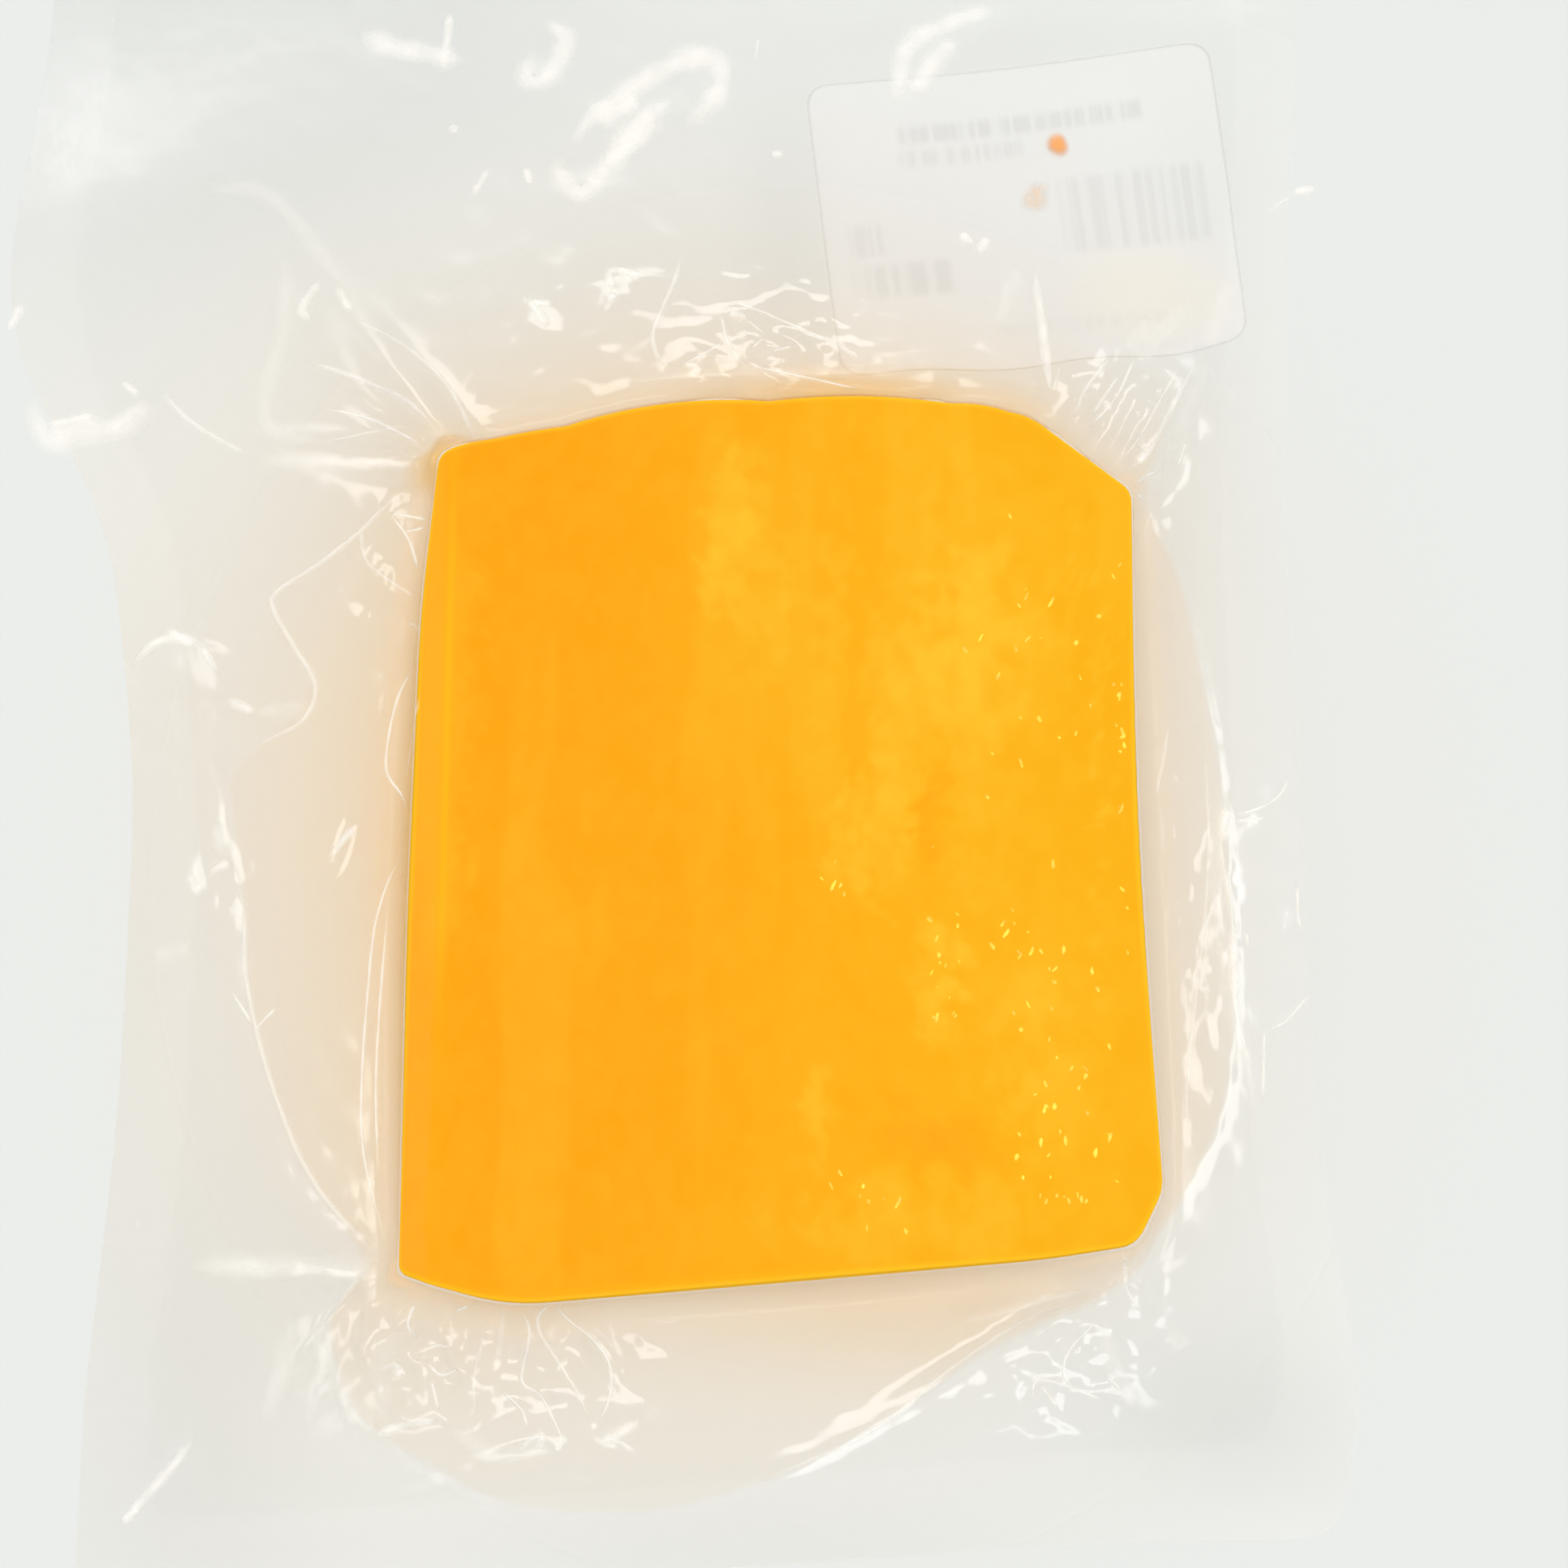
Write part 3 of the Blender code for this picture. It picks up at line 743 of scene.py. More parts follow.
def soft_ellipse(x, y, middle_x, middle_y, half_width, half_height):
    """1 in the middle of an ellipse, falling as a bell curve."""
    return np.exp(-(((x - middle_x) / half_width) ** 2 + ((y - middle_y) / half_height) ** 2))


def glow_round(x, y):
    """Strength, reach, share past the pocket and close glow of the painted glow, read between the bearings
    given.
    """
    turn = np.degrees(bearings(x, y))
    bearing, *columns = np.array(GLOW_ROUND).T
    return [np.interp(turn, bearing, column, period=360) for column in columns]


def ridge_height(x, y, past_pocket):
    """Ridge round the pocket's edge, highest where the painted glow ends there, gone where the glow runs past
    it.
    """
    height, half_width = POCKET_RIDGE
    beyond = glow_round(x, y)[2]
    return height * (1 - beyond) * np.exp(-((past_pocket / half_width) ** 2))


def painted_glow_mark(x, y):
    """Painted warm glow of light from the cheese: an exponential fall, a drop past the pocket's edge, and
    deeper places.
    """
    outside, past_pocket, _ = distances(x, y)
    strength, fall, beyond, glow = glow_round(x, y)
    past = np.maximum(outside, 0)
    tint = strength * np.exp(-past / fall) + glow * np.exp(-past / CLOSE_GLOW_REACH)
    inside = 1 - smooth_step((past_pocket + 0.5) / 1.2)
    tint *= beyond + (1 - beyond) * inside
    tint += inside * sum(strength * soft_ellipse(x, y, *place) for *place, strength in GLOW_DEEPER)
    return tint * smooth_step((outside + 0.2) / 0.8)


def shade_mark(x, y):
    """Painted shade on the film: the sum of the soft ellipses in SHADES."""
    return sum(strength * soft_ellipse(x, y, *place) for *place, strength in SHADES)


def soft_mark(x, y):
    """How blurred reflections are: 0 round the block, 1 at the bag's far end and sides."""
    return smooth_step((np.hypot(x - BLOCK_CENTRE[0], (y - BLOCK_CENTRE[1]) * 0.9) - 66) / 40)


def seal_mark(x, y):
    """0 on open film, and 0 to 1 across the heat seal from its inner edge to the bag's edge."""
    directions = bearings(x, y)
    away = np.hypot(x - BLOCK_CENTRE[0], y - BLOCK_CENTRE[1])
    inner = reach(SEAL_OUTLINE, directions)
    return np.clip((away - inner) / (reach(BAG_OUTLINE, directions) - inner), 0, 1)


def grid_faces(rows, columns, around):
    """Quads of a grid of points, rows by columns, joined round its columns or left open."""
    steps = columns if around else columns - 1
    row, column = np.meshgrid(np.arange(rows - 1), np.arange(steps), indexing="ij")
    following = (column + 1) % columns
    first = row * columns
    quads = [first + column, first + columns + column, first + columns + following, first + following]
    return np.stack([part.ravel() for part in quads], axis=1)


def add_piece(name, points, faces, finish, marks=None):
    """Named piece from drawn points and faces, smooth shaded, with a value for each point under each mark."""
    mesh = bpy.data.meshes.new(name)
    mesh.from_pydata(((points - DRAWN_MIDDLE) * METRE).tolist(), [], faces)
    mesh.materials.append(finish)
    mesh.shade_smooth()
    for mark, values in (marks or {}).items():
        mesh.attributes.new(mark, "FLOAT", "POINT").data.foreach_set("value", values.astype(np.float32))
    piece = bpy.data.objects.new(name, mesh)
    bpy.context.scene.collection.objects.link(piece)
    return piece


def film_marks(points):
    """What the film's finish reads: haze, its painted warm glow share, place across the seal, cling, painted
    shade, blur.
    """
    x, y = points[:, 0], points[:, 1]
    outside, _, past_seal = distances(x, y)
    # Painted warm glow of light from the cheese, mixed into the haze
    warm = HAZE_GLOW * painted_glow_mark(x, y)
    haze = HAZE_OPEN * smooth_step((outside - 1.5) / 3) + HAZE_SEAL * smooth_step((past_seal + 0.5) / 1.0)
    near, far = CLING_REACH
    return {
        "haze": haze + warm,
        "warm": warm / np.maximum(haze + warm, 1e-6),
        "seal": seal_mark(x, y),
        "loose": CLING + (1 - CLING) * smooth_step((outside - near) / (far - near)),
        "shade": shade_mark(x, y) * smooth_step(outside / 4),
        "soft": soft_mark(x, y),
    }


def even_directions(count):
    """Directions evenly spaced along a line halfway between the block's outline and a circle."""
    fine = np.linspace(-math.pi, math.pi, 4001)
    distance = reach(BLOCK_OUTLINE, fine)
    steps = np.hypot(np.diff(distance * np.cos(fine)), np.diff(distance * np.sin(fine)))
    travelled = np.concatenate([[0], np.cumsum(steps)])
    even = travelled / travelled[-1] + (fine + math.pi) / (2 * math.pi)
    return np.interp(np.linspace(0, 2, count, endpoint=False), even, fine)


def sheet_rings(directions, counts):
    """Distance of each ring from the centre, by counts: top, edge, tent, pocket, its ridge, margin and seal."""
    block = reach(BLOCK_OUTLINE, directions)
    foot = block + TENT_REACH
    pocket = np.maximum(reach(POCKET_OUTLINE, directions), foot + 1)
    bag = reach(BAG_OUTLINE, directions)
    seal = np.minimum(reach(SEAL_OUTLINE, directions), bag - 1)
    pocket = np.minimum(pocket, seal - 1)
    rows = [0.5 + (block - 6) * t for t in np.linspace(0, 1, counts[0], endpoint=False)]
    stops = (block - 6, block, foot, pocket - 0.5, pocket + 0.5, seal, bag)
    for start, end, count in zip(stops[:-1], stops[1:], counts[1:]):
        rows += [start + (end - start) * t for t in np.linspace(0, 1, count, endpoint=False)]
    rows.append(bag)
    return np.array(rows)


def make_sheet(name, surface, counts, upward, finish):
    """One sheet of film as rings about the block's centre, lifted to its surface, facing up or down."""
    directions = even_directions(DIRECTIONS)
    rings = sheet_rings(directions, counts)
    x = (BLOCK_CENTRE[0] + rings * np.cos(directions)).ravel()
    y = (BLOCK_CENTRE[1] + rings * np.sin(directions)).ravel()
    points = np.stack([x, y, surface(x, y)], axis=1)
    faces = grid_faces(len(rings), DIRECTIONS, True)
    middle = np.arange(DIRECTIONS)
    if not upward:
        faces = faces[:, ::-1]
        middle = middle[::-1]
    return add_piece(name, points, faces.tolist() + [middle.tolist()], finish, film_marks(points))


def side_reach(z, edge, bulge):
    """How far the cheese stands out at a height: up to its bulge, and just inside the tent and the foot."""
    above = np.clip((z - SEAM_HEIGHT) / (edge - SEAM_HEIGHT), 0, 1)
    under_tent = TENT_REACH * (1 - above ** (1 / TENT_STEEPNESS))
    below = np.clip(z / SEAM_HEIGHT, 0, 1)
    over_foot = (TENT_REACH + FOOT_ROUND) * (1 - (1 - below) ** (1 / FOOT_STEEPNESS)) - FOOT_ROUND
    return np.minimum(np.minimum(under_tent - CHEESE_GAP, over_foot - CHEESE_GAP), bulge)


def cheese_patches(x, y):
    """Sum of leaning ellipses with ragged edges: each falls as a bell curve, steeper with a larger edge."""
    ragged_x = x + 1.6 * crinkle(x, y, 9.0, 21) + 0.8 * crinkle(x, y, 3.6, 22)
    ragged_y = y + 2.4 * crinkle(x, y, 11.0, 23) + 1.0 * crinkle(x, y, 4.1, 24)
    total = np.zeros_like(x)
    for middle_x, middle_y, half_width, half_height, lean, edge, strength in CHEESE_PATCHES:
        aside = ragged_x - middle_x - lean * (y - middle_y)
        away = np.hypot(aside / half_width, (ragged_y - middle_y) / half_height)
        total += strength * np.exp(-(away ** (2 * edge)))
    return total


def build_cheese(finish):
    """Block of cheese: rings over its top, down its sides with the lump at one corner, and under its foot."""
    directions = even_directions(CHEESE_DIRECTIONS)
    block = reach(BLOCK_OUTLINE, directions)
    inner = np.linspace(0, 1, TOP_RINGS)[:, None]
    insets = np.array([4.4, 3.6, 2.9, 2.3, 1.8, 1.45, 1.2, 1.0, 0.8, 0.65, 0.5, 0.42, CHEESE_GAP])[:, None]
    top = np.concatenate([1 + (block - 6.2) * inner, block - insets])
    x = BLOCK_CENTRE[0] + top * np.cos(directions)
    y = BLOCK_CENTRE[1] + top * np.sin(directions)
    z = block_surface(x, y, top - block + CHEESE_GAP, CHEESE_DROP)
    shoulder = z[-1]
    side_z = CHEESE_FOOT + (shoulder - CHEESE_FOOT) * (1 - np.linspace(0, 1, SIDE_RINGS)[1:, None]) ** 1.2
    side = side_reach(side_z, BLOCK_TOP - FILM_DROP - edge_drop(x[-1]), SIDE_BULGE)
    lump_x, lump_y, lump_height, lump_radius = CORNER_LUMP
    bearing = math.atan2(lump_y - BLOCK_CENTRE[1], lump_x - BLOCK_CENTRE[0])
    lump_away = np.hypot(lump_x - BLOCK_CENTRE[0], lump_y - BLOCK_CENTRE[1])
    swing = (directions - bearing) * lump_away
    radius = lump_radius * np.sqrt(np.clip(1 - (side_z / (lump_height - 0.2)) ** 2, 0, 1))
    past_outline = lump_away - reach(BLOCK_OUTLINE, np.array([bearing]))[0]
    lump = past_outline + np.sqrt(np.clip(radius**2 - swing**2, 0, None))
    lump = np.where(radius > np.abs(swing), np.minimum(lump, side_reach(side_z, 99.0, 9.0)), -9.0)
    side = block + np.maximum(side, lump)
    base = side[-1] * np.array([0.97, 0.6, 0.2])[:, None]
    distance = np.concatenate([side, base])
    height = np.concatenate([side_z, np.full_like(base, CHEESE_FOOT - 0.1)])
    x = np.concatenate([x, BLOCK_CENTRE[0] + distance * np.cos(directions)]).ravel()
    y = np.concatenate([y, BLOCK_CENTRE[1] + distance * np.sin(directions)]).ravel()
    points = np.stack([x, y, np.concatenate([z, height]).ravel()], axis=1)
    rings = len(points) // CHEESE_DIRECTIONS
    faces = grid_faces(rings, CHEESE_DIRECTIONS, True).tolist()
    column = np.arange(CHEESE_DIRECTIONS)
    faces.append(column.tolist())
    faces.append((column + (rings - 1) * CHEESE_DIRECTIONS)[::-1].tolist())
    from_edge = np.concatenate([block - top, np.zeros_like(distance)]).ravel()
    patches = cheese_patches(points[:, 0], points[:, 1]) * smooth_step(from_edge)
    marks = {"from_edge": from_edge, "paler": np.clip(patches, 0, 1), "deeper": np.clip(-patches, 0, 1)}
    return add_piece("cheese_block", points, faces, finish, marks)


def smooth_curve(corners, count):
    """Smooth curve through corners: each span is a cubic whose end slopes come from the corners beside it."""
    spots = np.array(corners, float)
    held = np.concatenate([[2 * spots[0] - spots[1]], spots, [2 * spots[-1] - spots[-2]]])
    t = np.linspace(0, len(spots) - 1, count)
    span = np.minimum(t.astype(int), len(spots) - 2)
    f = (t - span)[:, None]
    a, b, c, d = (held[span + step] for step in range(4))
    return 0.5 * (2 * b + (c - a) * f + (2 * a - 5 * b + 4 * c - d) * f**2 + (3 * b - a - 3 * c + d) * f**3)


def film_spots(pixels):
    """Places on the front sheet seen at pixels: each ray of the camera is followed down to the film."""
    stage = bpy.context.scene.cheddar_stage
    eye = np.array(stage.camera_place) / METRE + DRAWN_MIDDLE
    scale = math.tan(stage.view_angle / 2) / PHOTO_HALF
    across = (pixels[:, 0] - PHOTO_HALF) * scale
    rise = (PHOTO_HALF - pixels[:, 1]) * scale
    c, s = math.cos(stage.camera_tilt), math.sin(stage.camera_tilt)
    ray = np.stack([across, s + rise * c, rise * s - c], axis=1)
    z = np.full(len(pixels), SEAM_HEIGHT)
    for _ in range(RAY_STEPS):
        spots = eye + ray * ((z - eye[2]) / ray[:, 2])[:, None]
        z = (z + film_front(spots[:, 0], spots[:, 1])) / 2
    return spots[:, :2]


def even_path(path, step):
    """The same path with its points evenly spaced."""
    travelled = np.concatenate([[0], np.cumsum(np.hypot(*np.diff(path, axis=0).T))])
    even = np.linspace(0, travelled[-1], max(int(travelled[-1] / step), 10))
    return np.stack([np.interp(even, travelled, path[:, axis]) for axis in (0, 1)], axis=1)


def crease_strip(kind, path, draw):
    """One crease: a bell-shaped ridge along its path on the front sheet, with fading ends, a milky crest that
    is partly painted highlight, and beads of painted glint.
    """
    half_width, height, milk, beads = CREASE_KINDS[kind]
    path = even_path(path, CREASE_STEP)
    ahead = np.gradient(path, axis=0)
    ahead /= np.linalg.norm(ahead, axis=1)[:, None]
    aside = np.stack([-ahead[:, 1], ahead[:, 0]], axis=1)
    t = np.linspace(0, 1, len(path))
    away = t * len(path) * CREASE_STEP
    fade = smooth_step(np.minimum(t, 1 - t) * 5)
    phases = draw.uniform(0, 2 * math.pi, 4)
    swell = 1 + 0.30 * np.sin(away / 1.9 + phases[0]) + 0.20 * np.sin(away / 0.8 + phases[1])
    crest = 1 - beads * (0.5 + 0.5 * np.sin(away / 0.9 + phases[2]) * np.sin(away / 2.3 + phases[3]))
    across = np.linspace(-1, 1, CREASE_COLUMNS)
    bell = (1 - across**2) ** 2
    width = (half_width * (0.35 + 0.65 * fade) * (0.6 + 0.4 * swell))[:, None]
    x = path[:, :1] + aside[:, :1] * across * width
    y = path[:, 1:] + aside[:, 1:] * across * width
    base = film_front(x.ravel(), y.ravel()).reshape(x.shape)
    z = np.minimum(base + bell * (height * fade * swell)[:, None] - 0.02, BLOCK_TOP - 0.02)
    strength = bell * (fade * crest)[:, None]
    return np.stack([x, y, z, strength * milk, bell * fade[:, None]], axis=2)


def build_creases(finish):
    """All the creases of the front sheet, joined in one piece."""
    draw = np.random.default_rng(5)
    curves = [smooth_curve(route, 16 * len(route)) for _, route in CREASES]
    spots = film_spots(np.concatenate(curves))
    paths = np.split(spots, np.cumsum([len(curve) for curve in curves])[:-1])
    strips = [crease_strip(kind, path, draw) for (kind, _), path in zip(CREASES, paths)]
    first = 0
    faces = []
    for strip in strips:
        rows, columns = strip.shape[:2]
        faces += (grid_faces(rows, columns, False) + first).tolist()
        first += rows * columns
    values = np.concatenate([strip.reshape(-1, 5) for strip in strips])
    nothing = np.zeros(len(values))
    marks = {
        # Milky crest of each crease, partly painted highlight
        "haze": values[:, 3],
        "warm": nothing + CREASE_GLOW,
        "seal": nothing,
        "loose": CREASE_GLOSS * values[:, 4],
        "shade": nothing,
        "soft": soft_mark(values[:, 0], values[:, 1]),
    }
    return add_piece("film_creases", values[:, :3], faces, finish, marks)


def join_grids(grids):
    """Points and faces of several closed strips, each a grid of rings with its two ends capped."""
    points = []
    faces = []
    first = 0
    for grid in grids:
        rings, around = grid.shape[:2]
        points.append(grid.reshape(-1, 3))
        faces += (grid_faces(rings, around, True) + first).tolist()
        column = np.arange(around) + first
        faces.append(column.tolist())
        faces.append((column + (rings - 1) * around)[::-1].tolist())
        first += rings * around
    return np.concatenate(points), faces


def dome(x, y, radius, height, base, draw, uneven=0.22):
    """Low dome with an uneven rim, closed by a flat underside."""
    turn = np.linspace(0, 2 * math.pi, DOME_SIDES, endpoint=False)
    rim = 1 + uneven * (np.sin(2 * turn + draw.uniform(0, 6)) + 0.45 * np.sin(3 * turn + draw.uniform(0, 6)))
    out = np.array(DOME_OUT)[:, None]
    lift = np.array(DOME_LIFT)[:, None]
    px = x + radius * out * rim * np.cos(turn)
    py = y + radius * out * rim * np.sin(turn)
    return np.stack([px, py, base + lift * height + 0 * px], axis=2)


def build_glint_flecks(finish):
    """Flecks of fat coloured as painted yellow glints under the film, scattered about their middles by a seeded
    draw and drawn out along Y.
    """
    draw = np.random.default_rng(8)
    grids = []
    for middle_x, middle_y, spread_x, spread_y, count in GLINT_FLECKS:
        x = middle_x + spread_x * draw.normal(0, 1, count)
        y = middle_y + spread_y * draw.normal(0, 1, count)
        radius = draw.uniform(*FLECK_RADII, count)
        outside = distances(x, y)[0]
        z = block_surface(x, y, outside, CHEESE_DROP)
        inside = outside < -1.0
        for px, py, pz, r in zip(x[inside], y[inside], z[inside], radius[inside]):
            fleck = dome(px, py, r, FLECK_HEIGHT, pz, draw)
            lean = draw.uniform(-FLECK_LEAN, FLECK_LEAN)
            length = draw.uniform(*FLECK_LENGTHS)
            along = (fleck[..., 1] - py) * length
            fleck[..., 0] += lean * along
            fleck[..., 1] = py + along
            grids.append(fleck)
    points, faces = join_grids(grids)
    return add_piece("fat_glint_flecks", points, faces, finish)


def label_height(x, y):
    """Upper face of the label, just under the back sheet."""
    return film_back(x, y) - LABEL_FILM_GAP


def build_label(finish):
    """Label: a rounded rectangle of rings round its middle, two faces and a thin edge, bent to the film."""
    half = np.array(LABEL_SIZE) / 2
    turn = np.linspace(0, 2 * math.pi, LABEL_DIRECTIONS, endpoint=False)
    square = np.stack([np.cos(turn), np.sin(turn)], axis=1)
    square /= np.abs(square).max(axis=1)[:, None]
    inner = half - LABEL_CORNER
    rim = square * half
    held = np.clip(rim, -inner, inner)
    out = rim - held
    length = np.maximum(np.linalg.norm(out, axis=1), 1e-9)[:, None]
    rim = np.where(length > 1e-6, held + out / length * np.minimum(length, LABEL_CORNER), rim)
    shares = np.concatenate([np.linspace(0.02, 0.95, 26), [0.98, 1.0]])
    plan = shares[:, None, None] * rim[None]
    low = smooth_step(-plan[..., 1] / half[1])
    waves = LABEL_WAVE[0] * np.sin(2 * math.pi * plan[..., 0] / LABEL_WAVE[1])
    plan[..., 1] += low * (waves - LABEL_BOW * (1 - (plan[..., 0] / half[0]) ** 2))
    c, s = math.cos(LABEL_TURN), math.sin(LABEL_TURN)
    x = LABEL_CENTRE[0] + plan[..., 0] * c - plan[..., 1] * s
    y = LABEL_CENTRE[1] + plan[..., 0] * s + plan[..., 1] * c
    z = label_height(x, y)
    upper = np.stack([x, y, z], axis=2)
    lower = np.stack([x, y, z - LABEL_THICKNESS], axis=2)[::-1]
    points, faces = join_grids([np.concatenate([upper, lower])])
    return add_piece("label_sheet", points, faces, finish)


def build_crumb(name, spot, finish):
    """Drop of cheese pressed between the sheets: a low dome on the back sheet."""
    x, y, radius, height, uneven, strength = spot
    base = float(film_back(np.array([x]), np.array([y]))[0]) + 0.02
    draw = np.random.default_rng(int(radius * 100))
    points, faces = join_grids([dome(x, y, radius, height, base, draw, uneven)])
    body = (1 - smooth_step((np.array(DOME_OUT) - 0.2) / 0.8)) * (np.array(DOME_LIFT) > 0) * strength
    return add_piece(name, points, faces, finish, {"body": np.repeat(body, DOME_SIDES)})


class NodeBench:
    """Short way to add nodes to a tree and to link them."""

    def __init__(self, tree):
        self.tree = tree

    def add(self, kind, values=None, **settings):
        node = self.tree.nodes.new(kind)
        for key, value in settings.items():
            setattr(node, key, value)
        for key, value in (values or {}).items():
            if isinstance(value, bpy.types.NodeSocket):
                self.tree.links.new(value, node.inputs[key])
            else:
                node.inputs[key].default_value = value
        return node

    def math(self, operation, *values):
        return self.add("ShaderNodeMath", dict(enumerate(values)), operation=operation).outputs[0]

    def vector(self, operation, *values):
        return self.add("ShaderNodeVectorMath", dict(enumerate(values)), operation=operation).outputs[0]

    def noise(self, place, scale, detail):
        return self.add("ShaderNodeTexNoise", {"Vector": place, "Scale": scale, "Detail": detail}).outputs[0]

    def attribute(self, name):
        return self.add("ShaderNodeAttribute", attribute_name=name).outputs["Fac"]

    def mix(self, share, first, second):
        node = self.add("ShaderNodeMix", {0: share, 6: first, 7: second}, data_type="RGBA")
        return node.outputs[2]

    def ramp(self, value, low, high, start=0.0, end=1.0):
        values = {"Value": value, "From Min": low, "From Max": high, "To Min": start, "To Max": end}
        return self.add("ShaderNodeMapRange", values, interpolation_type="SMOOTHSTEP").outputs[0]


def new_finish(name):
    """Empty material with a bench on its tree and its output node."""
    made = bpy.data.materials.new(name)
    made.use_nodes = True
    made.node_tree.nodes.clear()
    bench = NodeBench(made.node_tree)
    return made, bench, bench.add("ShaderNodeOutputMaterial")


def group_sockets(group, inputs, outputs):
    """Declares a node group's sockets: name, kind and default of each input, name and kind of each output."""
    for name, kind, default in inputs:
        group.interface.new_socket(name, in_out="INPUT", socket_type=kind).default_value = default
    for name, kind in outputs:
        group.interface.new_socket(name, in_out="OUTPUT", socket_type=kind)


def mottle_group():
    """Group that makes soft, uneven patches: stretched noise, its contrast raised between two levels."""
    group = bpy.data.node_groups.new("soft_mottle", "ShaderNodeTree")
    inputs = (
        ("Vector", "NodeSocketVector", (0, 0, 0)),
        ("Stretch", "NodeSocketVector", (1, 1, 1)),
        ("Scale", "NodeSocketFloat", 100.0),
        ("Low", "NodeSocketFloat", 0.35),
        ("High", "NodeSocketFloat", 0.7),
    )
    group_sockets(group, inputs, (("Mask", "NodeSocketFloat"),))
    bench = NodeBench(group)
    given = bench.add("NodeGroupInput").outputs
    stretched = bench.vector("MULTIPLY", given["Vector"], given["Stretch"])
    mask = bench.ramp(bench.noise(stretched, given["Scale"], 2.0), given["Low"], given["High"])
    bench.add("NodeGroupOutput", {"Mask": mask})
    return group


def patch_group():
    """Group that makes a soft round patch: 1 at its middle, 0 past its half width and half height."""
    group = bpy.data.node_groups.new("soft_patch", "ShaderNodeTree")
    inputs = (
        ("Vector", "NodeSocketVector", (0, 0, 0)),
        ("Middle", "NodeSocketVector", (0, 0, 0)),
        ("Half Size", "NodeSocketVector", (1, 1, 1)),
    )
    group_sockets(group, inputs, (("Mask", "NodeSocketFloat"),))
    bench = NodeBench(group)
    given = bench.add("NodeGroupInput").outputs
    moved = bench.vector("SUBTRACT", given["Vector"], given["Middle"])
    scaled = bench.vector("DIVIDE", moved, given["Half Size"])
    flat = bench.vector("MULTIPLY", scaled, (1, 1, 0))
    away = bench.add("ShaderNodeVectorMath", {0: flat}, operation="LENGTH").outputs["Value"]
    bench.add("NodeGroupOutput", {"Mask": bench.ramp(away, 1.0, 0.2)})
    return group


def print_group():
    """Group that prints a soft-edged block of upright stripes: a box mask times noise read along X."""
    group = bpy.data.node_groups.new("print_block", "ShaderNodeTree")
    inputs = (
        ("Vector", "NodeSocketVector", (0, 0, 0)),
        ("Middle", "NodeSocketVector", (0, 0, 0)),
        ("Half Size", "NodeSocketVector", (1, 1, 1)),
        ("Stripes", "NodeSocketFloat", 1000.0),
    )
    group_sockets(group, inputs, (("Mask", "NodeSocketFloat"),))
    bench = NodeBench(group)
    given = bench.add("NodeGroupInput").outputs
    moved = bench.vector("SUBTRACT", given["Vector"], given["Middle"])
    place = bench.add("ShaderNodeSeparateXYZ", {0: moved}).outputs
    size = bench.add("ShaderNodeSeparateXYZ", {0: given["Half Size"]}).outputs
    masks = []
    for axis in (0, 1):
        past = bench.math("SUBTRACT", bench.math("ABSOLUTE", place[axis]), size[axis])
        masks.append(bench.ramp(past, PRINT_SOFTNESS * METRE, -PRINT_SOFTNESS * METRE))
    line = bench.add("ShaderNodeCombineXYZ", {0: place[0], 1: size[0]})
    stripes = bench.ramp(bench.noise(line.outputs[0], given["Stripes"], 1.0), 0.38, 0.58, 0.25, 1.0)
    bench.add("NodeGroupOutput", {"Mask": bench.math("MULTIPLY", bench.math("MULTIPLY", *masks), stripes)})
    return group


def use_group(bench, group, values):
    """Places a node group in a tree and gives its first output."""
    return bench.add("ShaderNodeGroup", values, node_tree=group).outputs[0]


def group_named(name, make):
    """The node group of this name, made the first time it is asked for."""
    return bpy.data.node_groups.get(name) or make()


def drawn(x, y):
    """A place in the drawing as the object coordinates that a finish reads."""
    return ((x - DRAWN_MIDDLE[0]) * METRE, (y - DRAWN_MIDDLE[1]) * METRE, 0)


def patch_at(bench, place, x, y, half_width, half_height):
    """Soft patch round a place in the drawing."""
    half_size = (half_width * METRE, half_height * METRE, 1)
    values = {"Vector": place, "Middle": drawn(x, y), "Half Size": half_size}
    return use_group(bench, group_named("soft_patch", patch_group), values)


def mottle_at(bench, place, stretch, scale, low, high):
    """Soft mottling of a size, stretched along Y by the inverse of its stretch, between two levels of noise."""
    values = {"Vector": place, "Stretch": (1, stretch, 1), "Scale": scale, "Low": low, "High": high}
    return use_group(bench, group_named("soft_mottle", mottle_group), values)


